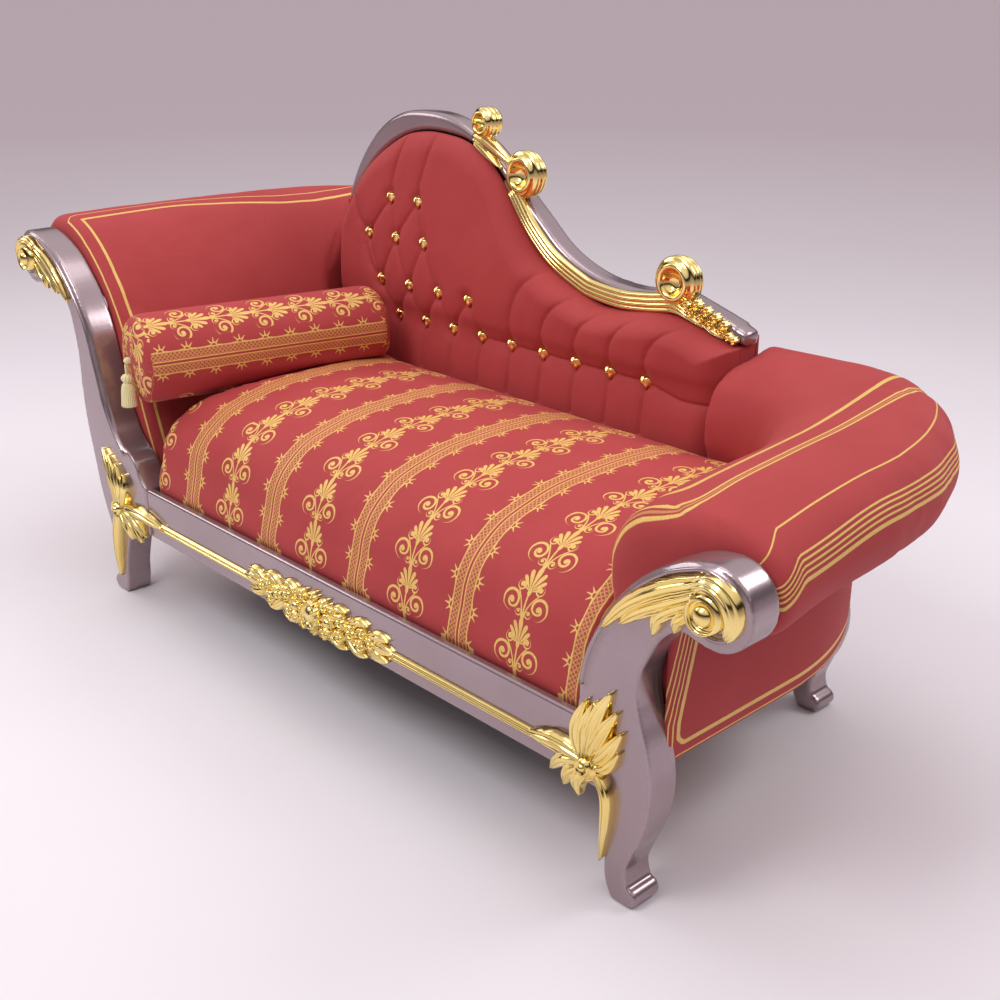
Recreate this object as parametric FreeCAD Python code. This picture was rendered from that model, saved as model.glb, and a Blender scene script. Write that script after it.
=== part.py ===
"""Chaise longue: scrolled head end, rolled foot end, tufted half back under an ogee crest (mm)."""
import math
import os

import FreeCAD
import Part

V = FreeCAD.Vector

# Reference planes. X runs from the head to the foot, Y from front to back, Z up.
HEAD_X = -728.0
FOOT_X = 795.0
FRONT_Y = -366.0
SHELL_Y = 345.0

# Seat frame
RAIL_BOTTOM = 166.0
RAIL_TOP = 266.0
RAIL_SETBACK = 2.0
RAIL_T = 42.0
LIP = 18.0
REBATE = 30.0
END_RAIL_T = 36.0
END_RAIL_BOTTOM = 228.0
END_RAIL_TOP = 298.0
REAR_RAIL_Y0 = 271.0
REAR_RAIL_T = 54.0
REAR_LEG_HEAD = 80.0
REAR_LEG_FOOT = 174.0
REAR_LEG_W = 93.0
SLAT_T = 14.0
SLAT_W = 70.0
SLAT_COUNT = 7
BLOCK = 80.0
BLOCK_H = 40.0
COVER_LAP = 20.0
DUST_T = 1.5
POST_T = 55.0
EDGE_BEAD_R = 5.0
EDGE_BEAD_IN = 9.0

# Clearances
GAP = 0.5
SOFT_GAP = 4.0

# Seat, back and bolster
SEAT_CROWN = 470.0
SEAT_REAR_Y = 208.0
PAD_REAR_Y = 284.0
CREST_Y0 = 282.0
CREST_T = 45.0
CREST_EDGE = 7.0
STILE = 38.0
COVER_T = 6.0
BOLSTER_R = 86.0
BOLSTER_L = 525.0
BOLSTER_TURN = 12.5
BOLSTER_RISE = 48.0
BOLSTER_IN = 171.0
BOLSTER_EDGE = 22.0
SINK_GAP = 1.0

# Arms
PANEL_T = 12.0
HEAD_TOP = 752.0
HEAD_OVERHANG = 222.0
FOOT_TOP = 583.0
FOOT_OVERHANG = 155.0
FOOT_CORNER = (282.0, 397.0)
HEAD_CORNER = (120.0, 150.0)
BOARD_IN = 46.0
BOARD_OUT = 24.0

# Ornament
LEAF_T = 14.0
BUTTON_R = 10.5
DIMPLE = 20.0

POST_BACK = FRONT_Y + POST_T
REBATE_Z = RAIL_TOP - REBATE
PAD_Z = REBATE_Z + SLAT_T + GAP
PANEL_BOTTOM = END_RAIL_BOTTOM
REAR_RAIL_Y1 = REAR_RAIL_Y0 + REAR_RAIL_T
LIP_Y = FRONT_Y + RAIL_SETBACK + LIP
HEAD_SEAM = HEAD_X + 216.0
FOOT_SEAM = FOOT_X - 133.0

parts = {}


def spline(points, knots=None):
    """Smooth edge through the points, at given knots where several edges must run alike."""
    curve = Part.BSplineCurve()
    if knots is None:
        curve.interpolate(points)
    else:
        curve.interpolate(Points=points, Parameters=knots)
    return curve.toShape()


def arc_from(p, way, q):
    """Arc that leaves p along a direction and ends at q."""
    chord = q - p
    unit = chord * (1.0 / chord.Length)
    rise = way - unit * way.dot(unit)
    if rise.Length < 1e-4:
        return Part.makeLine(p, q)
    bulge = chord.Length / 2 * math.tan(math.asin(min(1.0, rise.Length)) / 2)
    rise.normalize()
    return Part.Arc(p, (p + q) * 0.5 + rise * bulge, q).toShape()


def smooth(points):
    """Tangent arcs through the points, two to each step."""
    steps = [q - p for p, q in zip(points[:-1], points[1:])]
    units = [d * (1.0 / d.Length) for d in steps]
    ways = []
    for i in range(1, len(steps)):
        way = units[i - 1] * steps[i].Length + units[i] * steps[i - 1].Length
        ways.append(way.normalize())
    first = units[0] * (2 * units[0].dot(ways[0])) - ways[0]
    last = units[-1] * (2 * units[-1].dot(ways[-1])) - ways[-1]
    ways = [first] + ways + [last]
    edges = []
    for p, q, a, b in zip(points[:-1], points[1:], ways[:-1], ways[1:]):
        d = q - p
        turn = 1 - a.dot(b)
        ahead = d.dot(a + b)
        reach = d.dot(d) / (2 * ahead)
        if turn > 1e-9:
            reach = (math.sqrt(ahead * ahead + 2 * turn * d.dot(d)) - ahead) / (2 * turn)
        joint = (p + q + (a - b) * reach) * 0.5
        edges.append(arc_from(p, a, joint))
        edges.append(arc_from(q, b * -1.0, joint))
    return edges


def chain(points):
    """Straight edges through the points."""
    return [Part.makeLine(a, b) for a, b in zip(points[:-1], points[1:])]


def slab(edges, along):
    """Solid swept from the closed outline along a vector."""
    wire = Part.Wire(Part.__sortEdges__(edges))
    return Part.Face(wire).extrude(along)


def box(x0, x1, y0, y1, z0, z1):
    return Part.makeBox(x1 - x0, y1 - y0, z1 - z0, V(x0, y0, z0))


def xz(points, y):
    return [V(x, y, z) for x, z in points]


def moulding(points, section):
    """Moulding swept along a flat curve; the section is (to the left, forward) from the curve."""
    path = smooth(points)
    d = path[0].tangentAt(path[0].FirstParameter)
    if (path[0].valueAt(path[0].FirstParameter) - points[0]).Length > 0.01:
        d = path[0].tangentAt(path[0].LastParameter)
    left = V(-d.z, 0, d.x)
    ring = [points[0] + left * u + V(0, -w, 0) for u, w in section]
    return Part.Wire(Part.__sortEdges__(path)).makePipeShell([Part.makePolygon(ring + ring[:1])], True, False)


def beside(edge, distance, count, y):
    """Points beside a flat curve, to its left by the distance, at depth y."""
    points = []
    for i in range(count):
        t = edge.FirstParameter + (edge.LastParameter - edge.FirstParameter) * i / (count - 1)
        p = edge.valueAt(t)
        d = edge.tangentAt(t)
        points.append(V(p.x - d.z * distance, y, p.z + d.x * distance))
    return points


def solid_of(faces):
    """Closed solid from flat faces, each a list of corners."""
    shell = Part.Shell([Part.Face(Part.makePolygon(face + face[:1])) for face in faces])
    solid = Part.Solid(shell)
    if solid.Volume < 0:
        solid.reverse()
    return solid


def stacked(at, along, u, levels, sides, notch=0.0):
    """Faceted solid through rings of points; levels are (radius, distance), every second point is drawn in."""
    w = along.cross(u)
    rings = []
    for radius, distance in levels:
        ring = []
        for i in range(sides):
            r = radius * (1 - notch * (i % 2))
            t = 2 * math.pi * i / sides
            ring.append(at + along * distance + u * (r * math.cos(t)) + w * (r * math.sin(t)))
        rings.append(ring)
    faces = [rings[0], rings[-1]]
    for low, high in zip(rings[:-1], rings[1:]):
        for i in range(sides):
            k = (i + 1) % sides
            faces.append([low[i], low[k], high[k], high[i]])
    return solid_of(faces)


def lofted(rings):
    """Closed solid through rings of points, with two flat triangles for each step."""
    faces = []
    for near, far in zip(rings[:-1], rings[1:]):
        for i in range(len(near)):
            k = (i + 1) % len(near)
            faces.append([near[i], near[k], far[k]])
            faces.append([near[i], far[k], far[i]])
    return solid_of([rings[0], rings[-1]] + faces).removeSplitter()


def fuse(shapes):
    whole = shapes[0].multiFuse(shapes[1:])
    return whole.removeSplitter()


# Front rail with a rounded top edge and the rebate that takes the seat
rail_y = FRONT_Y + RAIL_SETBACK
rail_section = [V(HEAD_SEAM, rail_y, RAIL_BOTTOM), V(HEAD_SEAM, rail_y, RAIL_TOP),
                V(HEAD_SEAM, LIP_Y, RAIL_TOP), V(HEAD_SEAM, LIP_Y, REBATE_Z),
                V(HEAD_SEAM, rail_y + RAIL_T, REBATE_Z), V(HEAD_SEAM, rail_y + RAIL_T, RAIL_BOTTOM)]
rail = slab(chain(rail_section + rail_section[:1]), V(FOOT_SEAM - HEAD_SEAM, 0, 0))
rail_edges = [e for e in rail.Edges
              if e.Length > 500 and e.CenterOfMass.y < LIP_Y + 1
              and (e.CenterOfMass.z > RAIL_TOP - 1 or e.CenterOfMass.z < RAIL_BOTTOM + 1)]
parts["front_rail"] = rail.makeFillet(6.0, rail_edges)


# Plan of each end: a straight side, then a quarter ellipse round the rear corner.
def corner(side):
    """Sign, outer face, ellipse half axes and ellipse centre of one end."""
    if side == "foot":
        a, b = FOOT_CORNER
        return 1.0, FOOT_X, a, b, FOOT_X - a, SHELL_Y - b
    a, b = HEAD_CORNER
    return -1.0, HEAD_X, a, b, HEAD_X + a, SHELL_Y - b


def station(side, degrees):
    """Point and outward normal on the outer face, at an angle round the corner."""
    sign, face, a, b, cx, cy = corner(side)
    c = math.cos(math.radians(degrees))
    s = math.sin(math.radians(degrees))
    normal = V(sign * c / a, s / b, 0)
    normal.normalize()
    return V(cx + sign * a * c, cy + b * s, 0), normal


def bend(side, inset_out, inset_in, y0, last, z0, z1):
    """Board that follows one end round its corner, between two insets from the outer face."""
    sign, face, a, b, cx, cy = corner(side)
    angles = [last * i / 4.0 for i in range(5)]
    lines = []
    for inset in (inset_out, inset_in):
        run = []
        for degrees in angles:
            c = math.cos(math.radians(degrees))
            s = math.sin(math.radians(degrees))
            run.append(V(cx + sign * (a - inset) * c, cy + (b - inset) * s, z0))
        lines.append(run)
    outer, inner = lines
    start_out = V(face - sign * inset_out, y0, z0)
    start_in = V(face - sign * inset_in, y0, z0)
    edges = smooth(outer) + smooth(inner) + chain([outer[-1], inner[-1]])
    edges += chain([inner[0], start_in, start_out, outer[0]])
    return slab(edges, V(0, 0, z1 - z0))


end_rail_out = PANEL_T + GAP
end_rail_in = end_rail_out + END_RAIL_T
parts["head_end_rail"] = bend("head", end_rail_out, end_rail_in, POST_BACK, 40, END_RAIL_BOTTOM, END_RAIL_TOP)
parts["foot_end_rail"] = bend("foot", end_rail_out, end_rail_in, POST_BACK, 66, END_RAIL_BOTTOM, END_RAIL_TOP)
rear_x0 = HEAD_X + REAR_LEG_HEAD + REAR_LEG_W / 2 + GAP
rear_x1 = FOOT_X - REAR_LEG_FOOT - REAR_LEG_W / 2 - GAP
parts["rear_rail"] = box(rear_x0, rear_x1, REAR_RAIL_Y0, REAR_RAIL_Y1, RAIL_BOTTOM, REBATE_Z)


# Scrolled posts. Outlines are (outward from the end's outer face, height).
def leg_edges(place, outer, inner, toe_n):
    """Lower leg from the top of its outer line, round the toe and up the inner line."""
    toe = 15.0
    tip = Part.Arc(place((toe_n, 2 * toe)), place((toe_n + toe, toe)), place((toe_n, 0))).toShape()
    sole = Part.makeLine(place((toe_n, 0)), place(inner[0]))
    return smooth([place(p) for p in outer]) + [tip, sole] + smooth([place(p) for p in inner])


FOOT_LEG_OUT = [(5, 168), (-7, 122), (-24, 84), (-33, 52), (-27, 30)]
FOOT_LEG_IN = [(-57, 0), (-70, 28), (-72, 60), (-75, 103), (-79, 140), (-88, 166)]
FOOT_TOE = -27.0
FOOT_SCROLL = (92.0, 508.5, 57.5)
HEAD_LEG_OUT = [(-38, 177), (-53, 139), (-59, 95), (-60, 56), (-58, 30)]
HEAD_LEG_IN = [(-92, 0), (-100, 28), (-103, 60), (-115, 103), (-130, 140), (-142, 166)]
HEAD_TOE = -58.0
HEAD_SCROLL = (160.0, 674.0, 54.0)


def scroll_post(place, sign, seam, rise, scroll, fall, leg_out, leg_in, toe_n):
    """Post cut from one board: leg, S-shaped upright and scroll, with a bead that winds into it."""
    cn, cz, r = scroll
    rise_line = [place(p) for p in rise] + [place((cn, cz + r))]
    arc = Part.Arc(place((cn, cz + r)), place((cn + r, cz)), place((cn, cz - r))).toShape()
    fall_line = [place((cn, cz - r))] + [place(p) for p in fall]
    edges = smooth(rise_line) + [arc] + smooth(fall_line)
    edges += leg_edges(place, leg_out, leg_in, toe_n)
    edges += chain([place(leg_in[-1]), place((seam, RAIL_BOTTOM)), place(rise[0])])
    post = slab(edges, V(0, POST_T, 0))
    turns = []
    for i in range(10):
        angle = math.radians(90 - 45 * i)
        rr = r - EDGE_BEAD_IN - 2.9 * i
        turns.append(place((cn + rr * math.cos(angle), cz + rr * math.sin(angle))))
    lead = beside(spline(rise_line), -sign * EDGE_BEAD_IN, 8, FRONT_Y)[1:-1]
    r = EDGE_BEAD_R
    bead = moulding(lead + turns, [(r, -r / 2), (0.55 * r, r), (-0.55 * r, r), (-r, -r / 2)])
    return post.fuse(bead).removeSplitter()


def foot_place(p):
    return V(FOOT_X + p[0], FRONT_Y, p[1])


def head_place(p):
    return V(HEAD_X - p[0], FRONT_Y, p[1])


foot_rise = [(FOOT_SEAM - FOOT_X, RAIL_TOP), (-129, 290), (-126, 340), (-105, 402), (-66, 468), (-25, 513),
             (15, 542), (51, 559)]
foot_fall = [(66, 455), (44, 459), (22, 447), (5, 428), (-9, 402), (-23, 365), (-24, 335), (-16, 304), (-2, 262),
             (7, 215), (5, 168)]
parts["foot_front_post"] = scroll_post(foot_place, 1.0, FOOT_SEAM - FOOT_X, foot_rise, FOOT_SCROLL, foot_fall,
                                       FOOT_LEG_OUT, FOOT_LEG_IN, FOOT_TOE)
head_rise = [(HEAD_X - HEAD_SEAM, RAIL_TOP), (-201, 279), (-178, 316), (-139, 342), (-102, 402), (-74, 489),
             (-47, 574), (0, 643), (57, 694), (112, 720)]
head_fall = [(135, 623), (96, 627), (52, 618), (28, 588), (15, 545), (8, 499), (9, 431), (4, 359), (-10, 288),
             (-25, 216), (-38, 177)]
parts["head_front_post"] = scroll_post(head_place, -1.0, HEAD_X - HEAD_SEAM, head_rise, HEAD_SCROLL, head_fall,
                                       HEAD_LEG_OUT, HEAD_LEG_IN, HEAD_TOE)


# Rear legs under the ends of the bent rails, with the rear rail between them
def rear_leg(middle, sign):
    top = END_RAIL_BOTTOM - GAP
    inside = -REAR_LEG_W / 2

    def place(p):
        return V(middle + sign * p[0], REAR_RAIL_Y0, p[1])

    outer = [(-inside - 12, top), (-inside - 2, 168)] + [(n + 41, z) for n, z in FOOT_LEG_OUT[1:]]
    inner = [(n + 41, z) for n, z in FOOT_LEG_IN[:-1]] + [(inside, 166)]
    edges = leg_edges(place, outer, inner, FOOT_TOE + 41)
    edges += chain([place((inside, 166)), place((inside, top)), place(outer[0])])
    return slab(edges, V(0, REAR_RAIL_T, 0))


parts["foot_rear_leg"] = rear_leg(FOOT_X - REAR_LEG_FOOT, 1.0)
parts["head_rear_leg"] = rear_leg(HEAD_X + REAR_LEG_HEAD, -1.0)

# Slats on the rebate and the rear rail, and blocks behind the posts
slat_x0 = HEAD_SEAM + 10.0
slat_x1 = rear_x1 - 4.0
pitch = (slat_x1 - slat_x0 - SLAT_W) / (SLAT_COUNT - 1)
slats = []
for i in range(SLAT_COUNT):
    x = slat_x0 + i * pitch
    slats.append(box(x, x + SLAT_W, LIP_Y + GAP, PAD_REAR_Y, REBATE_Z, REBATE_Z + SLAT_T))
parts["seat_slats"] = Part.makeCompound(slats)
blocks = []
for side_x, way in ((HEAD_X + end_rail_in, 1.0), (FOOT_X - end_rail_in, -1.0)):
    a = V(side_x, POST_BACK, PAD_Z - 4 - BLOCK_H)
    corners = [a, a + V(way * BLOCK, 0, 0), a + V(0, BLOCK, 0), a]
    blocks.append(slab(chain(corners), V(0, 0, BLOCK_H)))
parts["corner_blocks"] = Part.makeCompound(blocks)
parts["dust_cover"] = box(HEAD_SEAM + COVER_LAP, rear_x1 - COVER_LAP, rail_y + COVER_LAP,
                          REAR_RAIL_Y0 + COVER_LAP, RAIL_BOTTOM - GAP - DUST_T, RAIL_BOTTOM - GAP)


# Upholstered arms: one closed section, carried along the end and round its corner. The wall is drawn
# from the seat to the roll as (share of the way out, height), the roll as (share of the overhang, drop).
FOOT_SHAPE = {"inner": -118.0, "overhang": 155.0, "top": 583.0,
              "wall": [(0, PAD_Z), (-0.03, 390), (-0.18, 455), (-0.14, 503), (0.14, 547)],
              "roll": [(-0.15, 10), (0.59, 0), (0.91, 24), (1.0, 73), (0.88, 121), (0.62, 137), (0, 109)]}
HEAD_SHAPE = {"inner": -190.0, "overhang": 222.0, "top": 752.0,
              "wall": [(0, PAD_Z), (0.37, 386), (0.716, 566)],
              "roll": [(0.23, 50), (0.7, 1), (0.93, 22), (0.985, 68), (0.85, 129), (0.5, 133), (0, 154)]}
SECTION_STEPS = 20


def section_points(shape, inner, overhang, top):
    """Points of a section as (outward, height)."""
    back = -PANEL_T - SOFT_GAP
    tall = (top - PAD_Z) / (shape["top"] - PAD_Z)
    points = [(inner + share * (back - inner), PAD_Z + (z - PAD_Z) * tall) for share, z in shape["wall"]]
    points += [(back + share * (overhang - back), top - drop) for share, drop in shape["roll"]]
    return points


def arm_section(at, normal, shape, inner, overhang, top):
    """Closed outline of an arm pad in a plane square to its path."""
    drawn = section_points(shape, shape["inner"], shape["overhang"], shape["top"])
    knots = [0.0]
    for (na, za), (nb, zb) in zip(drawn[:-1], drawn[1:]):
        knots.append(knots[-1] + math.hypot(nb - na, zb - za))
    spots = [at + normal * n + V(0, 0, z) for n, z in section_points(shape, inner, overhang, top)]
    curve = spline(spots, [k / knots[-1] for k in knots])
    points = [curve.valueAt(i / SECTION_STEPS) for i in range(SECTION_STEPS + 1)]
    low_out = at + normal * (-PANEL_T - SOFT_GAP) + V(0, 0, PAD_Z)
    return points + [low_out]


def arm_pad(side, shape, overhang, top, plan):
    """Pad lofted through sections; plan rows are (y or angle, overhang share, rise, inner wall)."""
    sign, face, a, b, cx, cy = corner(side)
    rings = []
    for kind, value, share, rise, wall in plan:
        if kind == "y":
            at, normal = V(face, value, 0), V(sign, 0, 0)
        elif kind == "turn":
            at, normal = station(side, value)
        else:
            at, normal = V(value, SHELL_Y, 0), V(0, 1, 0)
        rings.append(arm_section(at, normal, shape, wall, overhang * share, top + rise))
    return lofted(rings)


pad_y0 = POST_BACK + GAP
foot_cy = SHELL_Y - FOOT_CORNER[1]
head_cy = SHELL_Y - HEAD_CORNER[1]
back_x0 = HEAD_X + 51.0
back_x1 = FOOT_X - 372.0
foot_plan = [("y", pad_y0, 1.0, 0, -118), ("y", pad_y0 + 110, 1.0, 18, -118), ("y", foot_cy, 1.0, 28, -118),
             ("turn", 14, 0.98, 31, -120), ("turn", 28, 0.92, 35, -123), ("turn", 42, 0.81, 38, -126),
             ("turn", 56, 0.67, 38, -129), ("turn", 70, 0.47, 36, -130), ("turn", 84, 0.27, 34, -131),
             ("x", back_x1 + GAP, 0.2, 33, -131)]
head_plan = [("y", pad_y0, 1.0, 0, -190), ("y", pad_y0 + 140, 1.0, 2, -190), ("y", head_cy - 170, 0.97, 3, -190),
             ("y", head_cy, 0.85, 6, -190), ("turn", 18, 0.76, 8, -188), ("turn", 36, 0.61, 12, -186),
             ("turn", 52, 0.46, 16, -183), ("turn", 68, 0.31, 20, -180)]
foot_pad = arm_pad("foot", FOOT_SHAPE, FOOT_OVERHANG, FOOT_TOP, foot_plan)
head_pad = arm_pad("head", HEAD_SHAPE, HEAD_OVERHANG, HEAD_TOP, head_plan)

# Boards and rollers inside the arms
roller_foot_z = FOOT_TOP - 66
roller_head_z = HEAD_TOP - 66
foot_roller_x = FOOT_X + 0.56 * FOOT_OVERHANG
head_roller_x = HEAD_X - 0.66 * HEAD_OVERHANG
along = V(0, 1, 0)
parts["foot_arm_board"] = box(FOOT_X - BOARD_IN, FOOT_X - BOARD_OUT, pad_y0, foot_cy, END_RAIL_TOP, FOOT_TOP - 125)
parts["head_arm_board"] = box(HEAD_X + BOARD_OUT, HEAD_X + BOARD_IN, pad_y0, head_cy, END_RAIL_TOP, HEAD_TOP - 190)
parts["foot_arm_roller"] = Part.makeCylinder(30, foot_cy - pad_y0, V(foot_roller_x, pad_y0, roller_foot_z), along)
parts["head_arm_roller"] = Part.makeCylinder(30, head_cy - pad_y0 - 170, V(head_roller_x, pad_y0, roller_head_z),
                                             along)
back_room = box(back_x0 - GAP, back_x1, SEAT_REAR_Y - 1, SHELL_Y + 60, 0, 2000)
head_pad = head_pad.cut([back_room, parts["head_end_rail"], parts["head_arm_board"], parts["head_arm_roller"]])
foot_pad = foot_pad.cut([back_room, parts["foot_end_rail"], parts["foot_arm_board"], parts["foot_arm_roller"]])
parts["head_arm_pad"] = head_pad
parts["foot_arm_pad"] = foot_pad
foot_panel = bend("foot", 0, PANEL_T, pad_y0, 90, PANEL_BOTTOM, FOOT_TOP - 125)
head_panel = bend("head", 0, PANEL_T, pad_y0, 62, PANEL_BOTTOM, HEAD_TOP - 165)
parts["foot_end_panel"] = foot_panel
parts["rear_rail"] = parts["rear_rail"].cut(foot_panel)
parts["head_end_panel"] = head_panel.cut(back_room)

# Seat mattress: plan outline, crowned front-to-back section and rounded ends, kept where all three meet
seat_x0 = HEAD_SEAM + 4.0
seat_x1 = FOOT_SEAM - 5.0
seat_y0 = LIP_Y + 1.0
ea = seat_x1 - (FOOT_X - FOOT_CORNER[0]) + 4.0
eb = SEAT_REAR_Y - foot_cy
ex = seat_x1 - ea
turn = [V(ex + ea * math.cos(t), foot_cy + eb * math.sin(t), PAD_Z)
        for t in [math.pi / 2 * i / 4 for i in range(5)]]
seat_corners = [V(ex, SEAT_REAR_Y, PAD_Z), V(seat_x0, SEAT_REAR_Y, PAD_Z), V(seat_x0, seat_y0, PAD_Z),
                V(seat_x1, seat_y0, PAD_Z), V(seat_x1, foot_cy, PAD_Z)]
seat_plan = slab(chain(seat_corners) + smooth(turn), V(0, 0, 300))
upright = [e for e in seat_plan.Edges if abs(e.Length - 300) < 1 and e.CenterOfMass.x < seat_x1 + 1
           and e.CenterOfMass.y < SEAT_REAR_Y + 1 and not (e.CenterOfMass.x > seat_x0 + 1
           and e.CenterOfMass.y > seat_y0 + 1)]
seat_plan = seat_plan.makeFillet(14.0, upright)
crown = [(seat_y0, RAIL_TOP + 4), (seat_y0 + 2, SEAT_CROWN - 149), (seat_y0 + 15, SEAT_CROWN - 103),
         (seat_y0 + 70, SEAT_CROWN - 47), (seat_y0 + 168, SEAT_CROWN - 13), (seat_y0 + 312, SEAT_CROWN),
         (seat_y0 + 440, SEAT_CROWN - 4), (SEAT_REAR_Y + 2, SEAT_CROWN - 20)]
side_x = seat_x0 - 20
front_line = smooth([V(side_x, y, z) for y, z in crown])
side_low = [V(side_x, SEAT_REAR_Y + 2, SEAT_CROWN - 20), V(side_x, SEAT_REAR_Y + 2, PAD_Z),
            V(side_x, seat_y0, PAD_Z), V(side_x, seat_y0, RAIL_TOP + 4)]
seat_side = slab(front_line + chain(side_low), V(seat_x1 - seat_x0 + 40, 0, 0))
ends = [(seat_x0, PAD_Z), (seat_x0, 330), (seat_x0 + 8, 395), (seat_x0 + 36, SEAT_CROWN - 30),
        (seat_x0 + 90, SEAT_CROWN - 6), (seat_x0 + 220, SEAT_CROWN + 6), (seat_x1 - 220, SEAT_CROWN + 6),
        (seat_x1 - 90, SEAT_CROWN - 2), (seat_x1 - 30, SEAT_CROWN - 22), (seat_x1, SEAT_CROWN - 60),
        (seat_x1, PAD_Z)]
end_line = xz(ends, seat_y0 - 10)
seat_ends = slab(smooth(end_line[1:-1]) + chain([end_line[-2], end_line[-1], end_line[0], end_line[1]]),
                 V(0, SEAT_REAR_Y - seat_y0 + 20, 0))
mattress = seat_plan.common(seat_side).common(seat_ends)
parts["seat_mattress"] = mattress
parts["foot_arm_pad"] = foot_pad.cut(mattress)

# Crest rail: ogee between an upper and a lower line, drawn for the back's full width
DRAWN_X0 = -677.0
DRAWN_W = 1100.0


def across(x):
    return back_x0 + (x - DRAWN_X0) * (back_x1 - back_x0) / DRAWN_W


CREST_LOW = [(-638, 745), (-577, 830), (-480, 893), (-410, 912), (-337, 913), (-262, 900), (-188, 856),
             (-100, 747), (-36, 692), (81, 645), (149, 639), (275, 652), (385, 628), (430, 618)]
CREST_HIGH = [(-675, 745), (-611, 855), (-543, 917), (-478, 946), (-410, 953), (-340, 949), (-220, 901),
              (-99, 800), (17, 714), (87, 690), (159, 682), (285, 690), (345, 674), (434, 646)]
low_pts = [V(across(x), CREST_Y0, z) for x, z in CREST_LOW]
high_pts = [V(across(x), CREST_Y0, z) for x, z in CREST_HIGH]
crest_ends = chain([low_pts[0], high_pts[0]]) + chain([low_pts[-1], high_pts[-1]])
crest = slab(smooth(low_pts) + smooth(high_pts) + crest_ends, V(0, CREST_T, 0))
long_edges = [e for e in crest.Edges if e.CenterOfMass.y < CREST_Y0 + 0.1
              and min((e.CenterOfMass - c.CenterOfMass).Length for c in crest_ends) > 0.5]
crest = crest.makeChamfer(CREST_EDGE, long_edges)
parts["crest_rail"] = crest
stile_y0 = PAD_REAR_Y + 1.0
high_corners = [low_pts[-1], V(low_pts[-1].x, CREST_Y0, 1200), V(low_pts[0].x, CREST_Y0, 1200), low_pts[0]]
over_crest = slab(smooth(low_pts) + chain(high_corners), V(0, CREST_T + 10, 0))
for name, x in (("back_stile_mid", across(-150)), ("back_stile_foot", back_x1 - GAP - STILE / 2)):
    stile = box(x - STILE / 2, x + STILE / 2, stile_y0, REAR_RAIL_Y1, REBATE_Z, 950)
    parts[name] = stile.cut(over_crest)
x = across(-657)
parts["back_stile_head"] = box(x - STILE / 2, x + STILE / 2, stile_y0, REAR_RAIL_Y1, END_RAIL_BOTTOM, low_pts[0].z)

# Back pad: tapered slab inside the crest, raked and pinched at the lowest row of tufts
TAPER = 46.0
PAD_FRONT = [(216, PAD_Z), (214, 440), (229, 533), (223, 575), (227, 650), (250, 820), (270, 960)]
pad_left = back_x0 + 18.0
pad_right = back_x1 - GAP


def pad_ring(y, inset):
    run = spline([V(p.x, y, p.z - 1.0) for p in low_pts])
    points = beside(run, -inset, 21, y)
    first, last = points[0], points[-1]
    left = pad_left + 0.6 * inset
    right = pad_right - 0.5 * inset
    left_top = V(left, y, first.z - 15)
    points = [V(min(q.x, right - 2.0), y, q.z) for q in points]
    right_top = V(right, y, last.z - 10)
    corners = [right_top, V(right, y, PAD_Z), V(left, y, PAD_Z), left_top]
    return Part.makePolygon(points + corners + points[:1])


taper = Part.makeLoft([pad_ring(PAD_REAR_Y, 0), pad_ring(PAD_REAR_Y - 14, 0.5), pad_ring(PAD_REAR_Y - 84, TAPER)],
                      True, True)
side = [V(pad_left - 20, y, z) for y, z in PAD_FRONT]
rear_line = [side[-1], V(pad_left - 20, PAD_REAR_Y + 5, 960), V(pad_left - 20, PAD_REAR_Y + 5, PAD_Z), side[0]]
rake = slab(smooth(side) + chain(rear_line), V(pad_right - pad_left + 60, 0, 0))
pad = taper.common(rake)


def front_y(z):
    """Depth of the pad's front at a height."""
    for (ya, za), (yb, zb) in zip(PAD_FRONT[:-1], PAD_FRONT[1:]):
        if za <= z <= zb:
            return ya + (yb - ya) * (z - za) / (zb - za)
    return PAD_FRONT[-1][0]


TUFT_ROWS = [(-479, 88, 2, 775), (-543, 90, 3, 694), (-494, 93, 4, 602), (-441, 87, 9, 533)]
rows = [[(across(x0 + i * step), z) for i in range(count)] for x0, step, count, z in TUFT_ROWS]


def pleat(p, q, half, deep):
    """Wedge that sinks a sewn pleat into the pad's front between two points."""
    d = V(q[0] - p[0], 0, q[1] - p[1])
    d.normalize()
    wide = V(-d.z, 0, d.x) * half
    rings = []
    for x, z in (p, q):
        y = front_y(z)
        a = V(x, y + deep, z)
        b = V(x, y - 4, z)
        rings.append(Part.makePolygon([a, b + wide, b - wide, a]))
    return Part.makeLoft(rings, True, True)


tools = []
for row_a, row_b in zip(rows[:-1], rows[1:]):
    for p in row_a:
        for q in row_b:
            if abs(p[0] - q[0]) < 75:
                tools.append(pleat(p, q, 7, 8))
for p in rows[3]:
    tools.append(pleat((p[0], p[1]), (p[0] + 4, 420), 6, 7))
for p, q in zip(rows[3][3:-1], rows[3][4:]):
    tools.append(pleat(p, q, 7, 8))
dimples = []
buttons = []
for x, z in [p for row in rows for p in row]:
    y = front_y(z)
    seat_at = V(x, y + DIMPLE, z)
    dimples.append(stacked(seat_at, V(0, -1, 0), V(1, 0, 0), [(BUTTON_R + 2, 0), (BUTTON_R + 14, DIMPLE + 4)], 8))
    dome = [(BUTTON_R, GAP), (0.8 * BUTTON_R, 6), (0.35 * BUTTON_R, 9)]
    buttons.append(stacked(seat_at, V(0, -1, 0), V(1, 0, 0), dome, 8))
pad = pad.cut(tools)
parts["back_pad"] = pad.cut(dimples)
parts["tuft_buttons"] = Part.makeCompound(buttons)

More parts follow.
